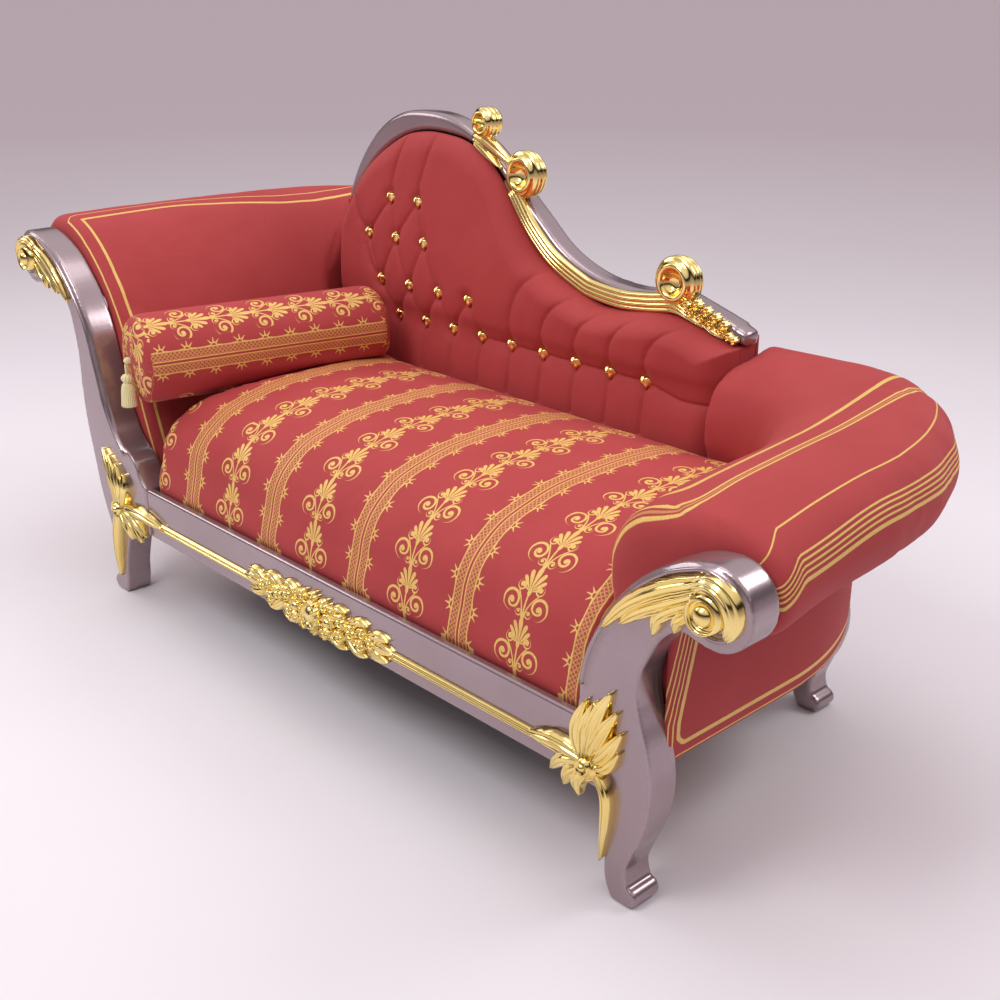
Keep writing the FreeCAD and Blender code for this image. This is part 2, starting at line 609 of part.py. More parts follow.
# Plain cover on the rear of the back
cover_y = CREST_Y0 + CREST_T + GAP
cover_low = PANEL_BOTTOM
cover_top = smooth([V(p.x, cover_y, p.z + 14) for p in low_pts])
c0 = V(low_pts[0].x, cover_y, low_pts[0].z + 14)
c1 = V(low_pts[-1].x, cover_y, low_pts[-1].z + 14)
cover = slab(cover_top + chain([c1, V(c1.x, cover_y, cover_low), V(c0.x, cover_y, cover_low), c0]),
             V(0, COVER_T, 0))
parts["back_cover"] = cover.cut(box(back_x1, back_x1 + 100, cover_y - 1, cover_y + 50, 0, 1000))

# Bolster lying in the head end, flattened where it rests on the seat
turn_angle = math.radians(BOLSTER_TURN)
axis = V(math.sin(turn_angle), math.cos(turn_angle), 0)
bolster_end = V(HEAD_X + BOLSTER_IN, FRONT_Y + 24.0, SEAT_CROWN + BOLSTER_RISE)
up = V(0, 0, 1)
BOLSTER_END = [(0, 0.0), (0.75, 0.0), (0.93, 0.3), (1.0, 1.0)]
near = [(share * BOLSTER_R, inset * BOLSTER_EDGE) for share, inset in BOLSTER_END]
outline = near + [(r, BOLSTER_L - d) for r, d in reversed(near)]
spots = [bolster_end + axis * d + up * r for r, d in outline]
roll = Part.Face(Part.Wire(chain(spots + spots[:1]))).revolve(bolster_end, axis, 360)
parts["bolster"] = roll.cut(box(HEAD_X, FOOT_X, FRONT_Y, SHELL_Y, PAD_Z, SEAT_CROWN + SINK_GAP))
KNOT_L = 17.0
KNOT_R = 6.5
parts["bolster_knot"] = stacked(bolster_end, axis * -1.0, up, [(KNOT_R, 0.2), (KNOT_R, KNOT_L)], 8)

# Tassel hanging from the knot: cord, lobed head and a skirt of strands
CORD_R = 2.2
CORD_L = 20.0
HEAD_H = 17.0
SKIRT_L = 46.0
down = V(0, 0, -1)
hang = bolster_end - axis * (KNOT_L - 3.0)
cord_top = hang + down * (KNOT_R + 0.4)
parts["tassel_cord"] = stacked(cord_top, down, axis, [(CORD_R, 0), (CORD_R, CORD_L)], 6)
head_top = cord_top + down * CORD_L
lobes = [(4.0, 0), (8.0, 0.25 * HEAD_H), (8.5, 0.6 * HEAD_H), (5.5, HEAD_H)]
parts["tassel_head"] = stacked(head_top, down, axis, lobes, 12, 0.1)
skirt_top = head_top + down * (HEAD_H + 0.3)
strands = [(6.0, 0), (8.5, 0.35 * SKIRT_L), (10.5, SKIRT_L)]
parts["tassel_skirt"] = stacked(skirt_top, down, axis, strands, 16, 0.14)


# Gilded ornament
def lobe(p, q, width, y, depth):
    """Pointed leaf blade with a raised midrib between two points, standing forward from depth y."""
    a = V(p[0], y, p[1])
    d = V(q[0] - p[0], 0, q[1] - p[1])
    across_way = V(-d.z, 0, d.x)
    across_way.normalize()
    forward = V(0, -1, 0)
    rim = forward * (0.4 * depth)
    left = [a]
    right = [a]
    rib = [a + rim]
    for share, wide, high in ((0.18, 0.75, 0.85), (0.45, 1.0, 1.0), (0.76, 0.62, 0.75)):
        middle = a + d * share
        left.append(middle + across_way * (wide * width / 2))
        right.append(middle - across_way * (wide * width / 2))
        rib.append(middle + forward * (high * depth))
    tip = a + d
    left.append(tip)
    right.append(tip)
    rib.append(tip + rim)
    faces = [left + right[-2:0:-1]]
    for line in (left, right):
        for i in range(len(line) - 1):
            g, h = line[i], line[i + 1]
            faces.append([g, h, h + rim, g + rim])
            if i < len(line) - 2:
                faces.append([g + rim, h + rim, rib[i + 1]] if i == 0 else [g + rim, h + rim, rib[i]])
                if i > 0:
                    faces.append([h + rim, rib[i + 1], rib[i]])
            else:
                faces.append([g + rim, h + rim, rib[i]])
    return solid_of(faces)


def rosette(x, z, y, radius, depth):
    """Carved boss with a ring of petals, a dished ring and a raised eye."""
    outline = [(1, 0), (0.92, 0.75), (0.6, 0.5), (0.4, 0.9), (0.18, 1)]
    return stacked(V(x, y, z), V(0, -1, 0), V(1, 0, 0), [(r * radius, d * depth) for r, d in outline], 20, 0.08)


def flower(x, z, y, radius, depth):
    """Five-petalled flower with a raised eye."""
    levels = [(radius, 0), (0.92 * radius, 0.6 * depth), (0.4 * radius, depth)]
    return stacked(V(x, y, z), V(0, -1, 0), V(1, 0, 0), levels, 10, 0.24)


leaf_y = FRONT_Y - 0.2
blades = [((60, 520), (-90, 431), 44), ((60, 508), (-34, 462), 36), ((64, 496), (14, 456), 30),
          ((70, 490), (52, 452), 26), ((60, 530), (-20, 514), 34), ((110, 500), (144, 486), 40)]
leaf = [lobe((FOOT_X + p[0], p[1]), (FOOT_X + q[0], q[1]), w, leaf_y, LEAF_T) for p, q, w in blades]
leaf.append(rosette(FOOT_X + FOOT_SCROLL[0], FOOT_SCROLL[1], leaf_y, 38, 26))
parts["foot_scroll_leaf"] = fuse(leaf).cut(parts["foot_front_post"])
blades = [((130, 662), (20, 606), 34), ((128, 650), (60, 618), 26), ((130, 680), (70, 660), 26),
          ((176, 690), (205, 690), 26)]
leaf = [lobe((HEAD_X - p[0], p[1]), (HEAD_X - q[0], q[1]), w, leaf_y, LEAF_T) for p, q, w in blades]
leaf.append(rosette(HEAD_X - HEAD_SCROLL[0], HEAD_SCROLL[1], leaf_y, 36, 26))
parts["head_scroll_leaf"] = fuse(leaf).cut(parts["head_front_post"])

foot_knee = [((-108, 214), (-71, 330), 40), ((-104, 214), (-34, 313), 36), ((-112, 214), (-112, 300), 32),
             ((-100, 208), (-40, 262), 30), ((-110, 210), (-221, 198), 34), ((-108, 204), (-156, 160), 34),
             ((-100, 200), (-92, 140), 36), ((-92, 196), (-64, 62), 26)]
head_knee = [((-112, 205), (-67, 314), 36), ((-118, 205), (-92, 300), 30), ((-124, 206), (-130, 280), 26),
             ((-120, 204), (-276, 202), 32), ((-122, 200), (-200, 152), 36), ((-112, 196), (-46, 165), 28),
             ((-106, 196), (-83, 39), 26)]
blades = [lobe((FOOT_X + p[0], p[1]), (FOOT_X + q[0], q[1]), w, leaf_y, LEAF_T) for p, q, w in foot_knee]
blades.append(rosette(FOOT_X - 104, 204, leaf_y, 22, 20))
parts["foot_knee_leaf"] = fuse(blades).cut(parts["foot_front_post"])
blades = [lobe((HEAD_X - p[0], p[1]), (HEAD_X - q[0], q[1]), w, leaf_y, LEAF_T) for p, q, w in head_knee]
blades.append(rosette(HEAD_X + 116, 200, leaf_y, 22, 20))
parts["head_knee_leaf"] = fuse(blades).cut(parts["head_front_post"])

# Garland at the middle of the rail: cabochons and flowers on a leafy bar
GARLAND_X = 50.0
GARLAND_Z = 200.0
GARLAND_HALF = 216.0
garland_y = rail_y - 0.2
lumps = [lobe((GARLAND_X - GARLAND_HALF, GARLAND_Z), (GARLAND_X + 40, GARLAND_Z), 46, garland_y, 9),
         lobe((GARLAND_X + GARLAND_HALF, GARLAND_Z), (GARLAND_X - 40, GARLAND_Z), 46, garland_y, 9)]
for dx, dz, radius, depth in ((0, 2, 24, 19), (-42, 4, 17, 15), (42, 4, 17, 15), (-84, 8, 18, 14), (84, 8, 18, 14),
                              (-76, -18, 13, 12), (76, -18, 13, 12), (-126, -4, 16, 13), (126, -4, 16, 13),
                              (-164, 4, 12, 11), (164, 4, 12, 11), (-24, 28, 13, 12), (24, 28, 13, 12),
                              (-24, -28, 12, 12), (24, -28, 12, 12)):
    lumps.append(flower(GARLAND_X + dx, GARLAND_Z + dz, garland_y, radius, depth))
parts["rail_garland"] = fuse(lumps)

# Double bead strips on the rail, either side of the garland
strips = []
for x0, x1 in ((HEAD_X + 282, GARLAND_X - GARLAND_HALF - 4), (GARLAND_X + GARLAND_HALF + 4, FOOT_X - 226)):
    rods = [box(x0, x1, rail_y - 3, rail_y - 0.2, GARLAND_Z - 7, GARLAND_Z + 7)]
    for dz in (-4, 4):
        rods.append(Part.makeCylinder(3.6, x1 - x0, V(x0, rail_y - 3.8, GARLAND_Z + dz), V(1, 0, 0)))
    strips.append(fuse(rods))
parts["rail_beads"] = Part.makeCompound(strips)

# Crest volutes: turned drums with ringed rims and dished eyes
VOLUTE_Y0 = 264.0
VOLUTE_T = 44.0


def volute(x, z, radius):
    """Drum along Y with two raised rings on its rim and a raised eye in a dished face."""
    eye = VOLUTE_T - 6
    levels = [(0.82, 0), (1.0, 9), (0.94, 17), (1.0, 25), (0.88, 33), (0.92, 39), (0.74, VOLUTE_T), (0.45, eye - 7),
              (0.2, eye)]
    at = V(x, VOLUTE_Y0 + VOLUTE_T, z)
    return stacked(at, V(0, -1, 0), V(1, 0, 0), [(r * radius, d) for r, d in levels], 24)


VOLUTES = [(-222, 944, 31), (-112, 856, 46), (276, 711, 47)]
volutes = [volute(across(x), z, radius).cut([crest, pad]) for x, z, radius in VOLUTES]
parts["crest_volutes"] = Part.makeCompound(volutes)

# Reeded band on the crest's face between the middle and the low volute
BAND = CREST_LOW[6:12]
band_y = CREST_Y0 - 0.2
band_low = spline([V(across(x), band_y, z + 3) for x, z in BAND])
REEDS = 3
REED_W = 8.0
REED_H = 7.0
flutes = [(1, 0), (1, 3)]
for i in range(REEDS):
    x = 2 + i * REED_W
    flutes += [(x, 4), (x + 0.3 * REED_W, REED_H), (x + 0.7 * REED_W, REED_H)]
flutes += [(2 + REEDS * REED_W, 4), (2 + REEDS * REED_W, 0)]
band = moulding(beside(band_low, 0, 7, band_y), flutes)
parts["crest_band"] = band.cut(volutes + [crest, pad])

# Leaf under the top volute and leafy tail at the crest's low end
top_blades = [((-232, 912), (-158, 872), 30), ((-232, 916), (-196, 862), 22), ((-210, 906), (-150, 884), 18)]
tail_blades = [((300, 690), (420, 634), 34), ((310, 676), (376, 640), 24), ((320, 690), (404, 652), 24),
               ((300, 664), (350, 650), 20)]
for name, blades in (("crest_top_leaf", top_blades), ("crest_tail_leaf", tail_blades)):
    cut_by = volutes + [crest, parts["crest_band"], parts["back_pad"]]
    shapes = [lobe((across(p[0]), p[1]), (across(q[0]), q[1]), w, band_y, 12) for p, q, w in blades]
    parts[name] = fuse(shapes).cut(cut_by)

# Centre the whole on the floor and write one file per piece
everything = Part.makeCompound(list(parts.values()))
bounds = everything.optimalBoundingBox(False, False)
shift = V(-(bounds.XMin + bounds.XMax) / 2, -(bounds.YMin + bounds.YMax) / 2, -bounds.ZMin)
os.makedirs("parts", exist_ok=True)
for name, shape in parts.items():
    shape.translated(shift).exportStep("parts/" + name + ".step")
print("pieces", len(parts), "size", round(bounds.XLength, 1), round(bounds.YLength, 1), round(bounds.ZLength, 1))
print("shift", round(shift.x, 2), round(shift.y, 2), round(shift.z, 2))
for name, shape in parts.items():
    solids = shape.Solids
    print("%-18s solids %2d volume %12.0f valid %s" % (name, len(solids), shape.Volume, shape.isValid()))
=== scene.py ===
# %% [markdown]
# # A chaise longue with a scrolled head end
# The real piece is a lacquered wooden frame with gilded carving, covered in red cloth: a patterned
# seat, a buttoned back under a sweeping crest, two rolled arms and a loose bolster with a tassel.
# The construction model gives every solid its place. This lesson dresses those solids: it rounds the
# wood, swells the pads, weaves the cloth in shader nodes and carves the leaves.

# %% Load the construction frame
import math

import bmesh
import bpy
import numpy as np
from mathutils import Matrix, Vector


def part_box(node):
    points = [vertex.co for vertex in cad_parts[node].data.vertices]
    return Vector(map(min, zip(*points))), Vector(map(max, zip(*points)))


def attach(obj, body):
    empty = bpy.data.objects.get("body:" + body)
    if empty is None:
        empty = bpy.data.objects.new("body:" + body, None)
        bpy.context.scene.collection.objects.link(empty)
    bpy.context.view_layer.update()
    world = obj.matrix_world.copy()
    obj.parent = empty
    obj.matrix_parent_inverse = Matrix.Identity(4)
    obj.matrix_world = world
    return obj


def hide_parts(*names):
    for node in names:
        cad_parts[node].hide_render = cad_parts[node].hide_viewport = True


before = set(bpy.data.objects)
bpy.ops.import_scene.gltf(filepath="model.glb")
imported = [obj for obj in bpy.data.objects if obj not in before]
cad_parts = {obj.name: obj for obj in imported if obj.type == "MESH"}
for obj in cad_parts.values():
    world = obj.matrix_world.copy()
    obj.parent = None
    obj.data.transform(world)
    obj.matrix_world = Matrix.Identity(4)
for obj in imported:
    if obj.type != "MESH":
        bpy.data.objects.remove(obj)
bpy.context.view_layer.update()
MM = 0.001
SHIFT = Vector((-3.65, -0.44, 0.0))
HEAD_X = -728.0
FOOT_X = 795.0
FRONT_Y = -366.0
SHELL_Y = 345.0
scene = bpy.context.scene

# %% [markdown]
# ## Camera
# The picture is taken from the foot end, a little above the seat. The camera stands where the four feet
# and the long edges of the rails line up as they do in the picture.

# %% Camera
LENS = 48.42
CAMERA_SPOT = Vector((1770.33, -1551.58, 1231.4))
CAMERA_TILT = math.radians(68.272)
CAMERA_TURN = math.radians(46.75)
camera = bpy.data.objects.new("camera", bpy.data.cameras.new("camera"))
camera.data.sensor_width = 36.0
camera.data.lens = LENS
camera.location = CAMERA_SPOT * MM + SHIFT * MM
camera.rotation_euler = (CAMERA_TILT, 0.0, CAMERA_TURN)
scene.collection.objects.link(camera)
scene.camera = camera
scene.view_settings.view_transform = "Standard"
print("camera at", tuple(round(c, 3) for c in camera.location))


# %% [markdown]
# ## Shader sums
# A cloth pattern is a sum over its own length and width. One small class wraps a socket, so that such
# a sum can be written in Python and each operator adds its Math node.

# %% Sockets with operators
class Wire:
    """A shader socket that takes part in Python sums."""

    def __init__(self, finish, socket):
        self.finish = finish
        self.socket = socket

    def math(self, operation, *values):
        sockets = dict(enumerate((self,) + values))
        return self.finish.node("ShaderNodeMath", {"operation": operation}, sockets)

    def __add__(self, other):
        return self.math("ADD", other)

    __radd__ = __add__

    def __mul__(self, other):
        return self.math("MULTIPLY", other)

    __rmul__ = __mul__

    def __sub__(self, other):
        return self.math("SUBTRACT", other)

    def __rsub__(self, other):
        return (self * -1.0) + other

    def __truediv__(self, other):
        return self.math("DIVIDE", other)

    def __or__(self, other):
        return self.math("MAXIMUM", other)

    def __and__(self, other):
        return self.math("MINIMUM", other)

    def __abs__(self):
        return self.math("ABSOLUTE")

    def below(self, edge, soft):
        """1 under the edge and 0 over it, with a soft step between."""
        ramp = {"clamp": True, "interpolation_type": "LINEAR"}
        sockets = {"Value": self - edge, "From Min": -soft, "From Max": soft,
                   "To Min": 1.0, "To Max": 0.0}
        return self.finish.node("ShaderNodeMapRange", ramp, sockets)


class Finish:
    """One material: nodes come from node(), and put() fills the shader's sockets."""

    def __init__(self, name):
        self.material = bpy.data.materials.new(name)
        self.material.use_nodes = True
        self.tree = self.material.node_tree
        self.shader = self.tree.nodes["Principled BSDF"]

    def node(self, kind, settings, sockets, out=0):
        made = self.tree.nodes.new(kind)
        for key, value in settings.items():
            setattr(made, key, value)
        for key, value in sockets.items():
            if isinstance(value, Wire):
                self.tree.links.new(value.socket, made.inputs[key])
            else:
                made.inputs[key].default_value = value
        return Wire(self, made.outputs[out])

    def place(self):
        return self.node("ShaderNodeTexCoord", {}, {}, "Object")

    def noise(self, scale, detail=2.0, stretch=(1.0, 1.0, 1.0)):
        spot = self.node("ShaderNodeVectorMath", {"operation": "MULTIPLY"}, {0: self.place(), 1: stretch})
        return self.node("ShaderNodeTexNoise", {}, {"Vector": spot, "Scale": scale, "Detail": detail})

    def blend(self, share, first, second):
        sockets = {"Factor": share, 6: first, 7: second}
        return self.node("ShaderNodeMix", {"data_type": "RGBA"}, sockets, 2)

    def bump(self, height, depth, strength=1.0):
        sockets = {"Height": height, "Distance": depth, "Strength": strength}
        return self.node("ShaderNodeBump", {}, sockets)

    def put(self, **values):
        for key, value in values.items():
            socket = self.shader.inputs[key.replace("_", " ")]
            if isinstance(value, Wire):
                self.tree.links.new(value.socket, socket)
            else:
                socket.default_value = value
        return self


def tone(red, green, blue):
    """A screen colour, 0 to 255, as the light values that a shader takes."""
    return tuple((c / 255.0 / 12.92 if c < 11 else ((c / 255.0 + 0.055) / 1.055) ** 2.4)
                 for c in (red, green, blue)) + (1.0,)


# %% [markdown]
# ## Floor, sky and lamps
# A pale floor that fades into a pale sky keeps the surroundings plain. Far out, the floor's colour is
# painted darker and mauver, a painted shade for the lamps' light that falls off with distance. Polished
# metal shows what stands round it, so the sky has a dark band low down, like the dark side of a studio.
# Four broad lamps stand for the studio's windows.

# %% Floor
FLOOR_SIZE = 60.0
FLOOR_DROP = 0.0005
FAR_SHADE_MIDDLE = 5.0
FAR_SHADE_SOFT = 4.0
bm = bmesh.new()
bmesh.ops.create_grid(bm, x_segments=4, y_segments=4, size=FLOOR_SIZE)
floor_mesh = bpy.data.meshes.new("studio_floor")
bm.to_mesh(floor_mesh)
bm.free()
floor = bpy.data.objects.new("studio_floor", floor_mesh)
floor.location.z = -FLOOR_DROP
scene.collection.objects.link(floor)
paving = Finish("pale_floor")
spot = paving.place()
far = paving.node("ShaderNodeVectorMath", {"operation": "LENGTH"}, {0: spot}, "Value")
# Painted shade: the floor's colour turns darker and mauver from about 1 to 9 metres out, for the lamps'
# light falling off with distance.
far_shade = 1.0 - far.below(FAR_SHADE_MIDDLE, FAR_SHADE_SOFT)
cloudy = paving.noise(0.9, 4.0)
near_floor = paving.blend(cloudy, tone(238, 234, 237), tone(228, 222, 227))
paving.put(Base_Color=paving.blend(far_shade, near_floor, tone(213, 198, 203)), Roughness=0.9)
floor_mesh.materials.append(paving.material)
print("floor", 2.0 * FLOOR_SIZE, "metres wide")

# %% Sky and lamps
SKY = [(0.02, tone(162, 150, 158)), (0.1, tone(150, 139, 146)), (0.2, tone(30, 24, 28)),
       (0.36, tone(50, 43, 47)), (0.46, tone(198, 190, 194)), (0.8, tone(246, 240, 244))]
LAMPS = [("key", (-0.1, -2.6, 3.4), 46.0, 1.4), ("fill", (-2.9, -1.2, 2.2), 18.0, 1.4),
         ("rim", (1.9, 1.9, 2.6), 26.0, 1.2), ("top", (-0.2, 0.2, 3.4), 14.0, 1.6)]
AIM = Vector((0.0, 0.0, 0.4))
world = bpy.data.worlds.new("studio")
scene.world = world
world.use_nodes = True
nodes = world.node_tree.nodes
links = world.node_tree.links
sky = nodes["Background"]
sky.inputs[1].default_value = 1.0
view = nodes.new("ShaderNodeTexCoord")
parts = nodes.new("ShaderNodeSeparateXYZ")
links.new(view.outputs["Generated"], parts.inputs[0])
ramp = nodes.new("ShaderNodeValToRGB")
stops = ramp.color_ramp.elements
for _ in SKY[2:]:
    stops.new(0.5)
for stop, (height, colour) in zip(stops, SKY):
    stop.position = height
    stop.color = colour
links.new(parts.outputs["Z"], ramp.inputs[0])
links.new(ramp.outputs[0], sky.inputs[0])
for name, spot, power, size in LAMPS:
    lamp = bpy.data.lights.new(name, "AREA")
    lamp.energy = power
    lamp.size = size
    lamp_object = bpy.data.objects.new(name, lamp)
    lamp_object.location = spot
    lamp_object.rotation_euler = (AIM - Vector(spot)).to_track_quat("-Z", "Y").to_euler()
    scene.collection.objects.link(lamp_object)
print("lamps", len(LAMPS), "sky stops", len(SKY))

# %% [markdown]
# ## Wood and gilding
# The show wood is lacquered a greyed mauve with a soft polish, so its colour drifts a little and the
# coat carries fine brush marks. Gilding is a metal whose leaf is never quite even. The frame inside is
# bare beech with a long grain.

# %% Wood and gilding
lacquer = Finish("mauve_lacquer")
drift = lacquer.noise(5.0, 4.0)
brushed = lacquer.noise(90.0, 3.0, (0.2, 1.0, 0.35))
shade = drift * 0.8 + brushed * 0.2
lacquer.put(Base_Color=lacquer.blend(shade, tone(178, 159, 163), tone(148, 128, 132)), Metallic=0.7,
            Roughness=drift * 0.08 + brushed * 0.06 + 0.16, Coat_Weight=0.5, Coat_Roughness=0.1,
            Normal=lacquer.bump(brushed, 0.0003, 0.4))

gilding = Finish("polished_gilding")
leafed = gilding.noise(60.0, 4.0)
burnish = gilding.noise(14.0, 3.0)
gilding.put(Base_Color=gilding.blend(burnish, tone(255, 238, 168), tone(242, 208, 114)), Metallic=1.0,
            Roughness=leafed * 0.08 + burnish * 0.08 + 0.05, Normal=gilding.bump(leafed, 0.0004, 0.2))

beech = Finish("bare_beech")
grain = beech.noise(30.0, 6.0, (0.12, 1.0, 1.0))
beech.put(Base_Color=beech.blend(grain, tone(206, 170, 126), tone(160, 118, 78)),
          Roughness=grain * 0.2 + 0.55, Normal=beech.bump(grain, 0.0006, 0.5))
print("hard finishes", lacquer.material.name, gilding.material.name, beech.material.name)


# %% [markdown]
# ## Red cloth
# The covers are a red woven cloth with a soft nap, and gold thread lies a little proud of it. The threads
# are far too fine to model, so the weave is a sum of waves that only bends the light.

# %% Cloth finishes
def weave(finish, pitch=0.0011):
    """Height of a plain weave: threads over and under at a fixed pitch."""
    spot = finish.node("ShaderNodeSeparateXYZ", {}, {0: finish.place()}, 0)
    sides = [Wire(finish, spot.socket.node.outputs[i]) for i in range(3)]
    waves = [(side * (2.0 * math.pi / pitch)).math("SINE") for side in sides]
    return waves[0] * waves[1] * 0.35 + waves[1] * waves[2] * 0.35 + waves[2] * waves[0] * 0.35


RED_LIT = tone(186, 66, 66)
RED_DEEP = tone(168, 50, 52)
GOLD_LIT = tone(250, 222, 128)
GOLD_DEEP = tone(220, 160, 70)


def red_cloth(finish, gold=None, gold_raise=0.0006):
    """Red ground with a soft nap; where gold is 1 the woven gold thread shows."""
    nap = finish.noise(9.0, 4.0)
    thread = weave(finish)
    height = thread * 0.3
    colour = finish.blend(nap, RED_LIT, RED_DEEP)
    if gold is not None:
        shine = finish.noise(420.0, 2.0)
        colour = finish.blend(gold, colour, finish.blend(shine, GOLD_LIT, GOLD_DEEP))
        height = height + gold
        finish.put(Roughness=0.78 - gold * 0.33)
    else:
        finish.put(Roughness=nap * 0.12 + 0.7)
    return finish.put(Base_Color=colour, Sheen_Weight=0.14, Sheen_Roughness=0.4,
                      Sheen_Tint=tone(240, 170, 165), Normal=finish.bump(height, gold_raise, 0.6))


plain_red = red_cloth(Finish("plain_red_cloth"))
dust_cloth = Finish("black_dust_cloth")
specks = dust_cloth.noise(700.0)
dust_cloth.put(Base_Color=dust_cloth.blend(specks, tone(52, 46, 46), tone(30, 27, 28)), Roughness=0.9,
               Normal=dust_cloth.bump(weave(dust_cloth, 0.002), 0.0004))
print("finishes", len(bpy.data.materials))

# %% [markdown]
# ## Dressing one node
# A piece that stands for a solid rides on the same body, hides that solid and takes its finish.

# %% Dressing helper
BODY_OF = {"bolster": "bolster", "bolster_knot": "bolster", "tassel_cord": "tassel",
           "tassel_head": "tassel", "tassel_skirt": "tassel"}
MERGE = 1e-5


def dress(name, mesh, finish, slot, *nodes):
    """Turn a mesh into a piece that stands for CAD nodes."""
    piece = bpy.data.objects.new(name, mesh)
    scene.collection.objects.link(piece)
    mesh.materials.clear()
    mesh.materials.append(finish.material)
    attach(piece, BODY_OF.get(nodes[0], "frame"))
    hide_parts(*nodes)
    print(name, len(mesh.polygons), "faces in", finish.material.name)
    return piece


def solid_copy(*nodes):
    """The triangles of one or more nodes as a merged bmesh."""
    bm = bmesh.new()
    for node in nodes:
        bm.from_mesh(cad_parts[node].data)
    bmesh.ops.remove_doubles(bm, verts=bm.verts, dist=MERGE)
    return bm


def drawn(x, y, z):
    """A point of the drawing, in millimetres, as a place in the frame, in metres."""
    return (Vector((x, y, z)) + SHIFT) * MM


def eased(bm, verts, rounds):
    """Even out some verts by a few rounds of smoothing."""
    for _ in range(rounds):
        bmesh.ops.smooth_vert(bm, verts=verts, factor=0.5,
                              use_axis_x=True, use_axis_y=True, use_axis_z=True)


def grid(bm, columns, rows):
    """A flat grid from -1 to 1 both ways, to be bent into a form."""
    return bmesh.ops.create_grid(bm, x_segments=columns, y_segments=rows, size=1.0)["verts"]


def new_rim(bm, edges):
    """Extrude open edges; the new verts are given back to be drawn to their place."""
    made = bmesh.ops.extrude_edge_only(bm, edges=edges)["geom"]
    return [g for g in made if isinstance(g, bmesh.types.BMVert)]


def finished(bm, name, smooth=True):
    """A mesh from a bmesh, shaded smooth unless its faces are flat."""
    mesh = bpy.data.meshes.new(name)
    for face in bm.faces:
        face.smooth = smooth
    bm.to_mesh(mesh)
    bm.free()
    return mesh


# %% [markdown]
# ## Lacquered wood
# Posts, legs and crest are sawn from boards and then rounded over by hand until no edge is left. A voxel
# remesh followed by smoothing rounds every edge alike, as a rasp and many coats of lacquer do. That
# would wear away the bead on the front posts, so the bead is set on again from the solid. The straight
# rail only has its edges eased, so a bevel on the sharp edges is enough.

# %% Remeshed skins
def even_skin(voxel, rounds, *nodes):
    """Solids grown together as one even mesh of squares, eased by a few rounds of smoothing."""
    rough = bpy.data.objects.new("rough", finished(solid_copy(*nodes), "rough"))
    scene.collection.objects.link(rough)
    remesh = rough.modifiers.new("even", "REMESH")
    remesh.mode = "VOXEL"
    remesh.voxel_size = voxel * MM
    mesh = bpy.data.meshes.new_from_object(rough.evaluated_get(bpy.context.evaluated_depsgraph_get()))
    bpy.data.objects.remove(rough)
    bm = bmesh.new()
    bm.from_mesh(mesh)
    eased(bm, bm.verts, rounds)
    return finished(bm, nodes[0] + "_skin")


# %% Beads on the posts
BEAD_RAISE = 1.5
BEAD_LIP = 0.4
BEAD_ROOT = 2.0


def beaded(node, skin):
    """A post's skin with the bead of its front edge, which the smoothing wore down, set on again."""
    bm = solid_copy(node)
    face = (FRONT_Y + SHIFT.y) * MM
    behind = [v for v in bm.verts if v.co.y > face - BEAD_LIP * MM]
    bmesh.ops.delete(bm, geom=behind, context="VERTS")
    for vert in bm.verts:
        vert.co.y = face + (vert.co.y - face) * BEAD_RAISE
    for vert in new_rim(bm, [e for e in bm.edges if e.is_boundary]):
        vert.co.y = face + BEAD_ROOT * MM
    print(node, "bead", len(bm.faces), "faces")
    bm.from_mesh(skin)
    return finished(bm, node + "_beaded")


# %% Rounded posts, legs and crest
ROUNDED = [("foot_front_post", 2.3, 7), ("head_front_post", 2.3, 7), ("foot_rear_leg", 2.6, 9),
           ("head_rear_leg", 2.6, 9), ("crest_rail", 2.8, 10)]
CREST_END = 404.0
CREST_END_ROUNDS = 40
for node, voxel, rounds in ROUNDED:
    skin = even_skin(voxel, rounds, node)
    if node == "crest_rail":
        bm = bmesh.new()
        bm.from_mesh(skin)
        for _ in range(CREST_END_ROUNDS):
            eased(bm, [v for v in bm.verts if v.co.x > CREST_END * MM], 1)
        skin = finished(bm, "crest_skin")
    elif node.endswith("post"):
        skin = beaded(node, skin)
    dress(node + "_wood", skin, lacquer, "lacquered_frame", node)

# %% Eased front rail
FLAT = math.radians(1.5)
SHARP = math.radians(32)
RAIL_EASE = 4.0
bm = solid_copy("front_rail")
bmesh.ops.dissolve_limit(bm, angle_limit=FLAT, verts=bm.verts, edges=bm.edges)
sharp = [e for e in bm.edges if len(e.link_faces) == 2 and e.calc_face_angle() > SHARP]
print("rail edges eased", len(sharp))
bmesh.ops.bevel(bm, geom=sharp, offset=RAIL_EASE * MM, offset_type="OFFSET", segments=3, profile=0.5,
                affect="EDGES", clamp_overlap=True, material=-1)
bmesh.ops.triangulate(bm, faces=[f for f in bm.faces if len(f.verts) > 4])
rail = dress("front_rail_wood", finished(bm, "front_rail_wood"), lacquer, "lacquered_frame", "front_rail")
rail.modifiers.new("flat_faces", "WEIGHTED_NORMAL")

# %% [markdown]
# ## The frame inside
# Rails, slats and the middle stile are plain sawn beech, so their solids stay and only get a grain. The
# rear rail shows from behind and is lacquered, and the two outer stiles are covered in red cloth. The
# boards and rollers stop short of the arm's front, where the cloth is turned over them.

# %% Solids that stay
INNER = ("head_end_rail", "foot_end_rail", "rear_rail", "seat_slats", "corner_blocks", "back_stile_mid")
for node in INNER:
    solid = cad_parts[node]
    solid.data.materials.clear()
    solid.data.materials.append((lacquer if node == "rear_rail" else beech).material)
print("inner pieces", len(INNER))

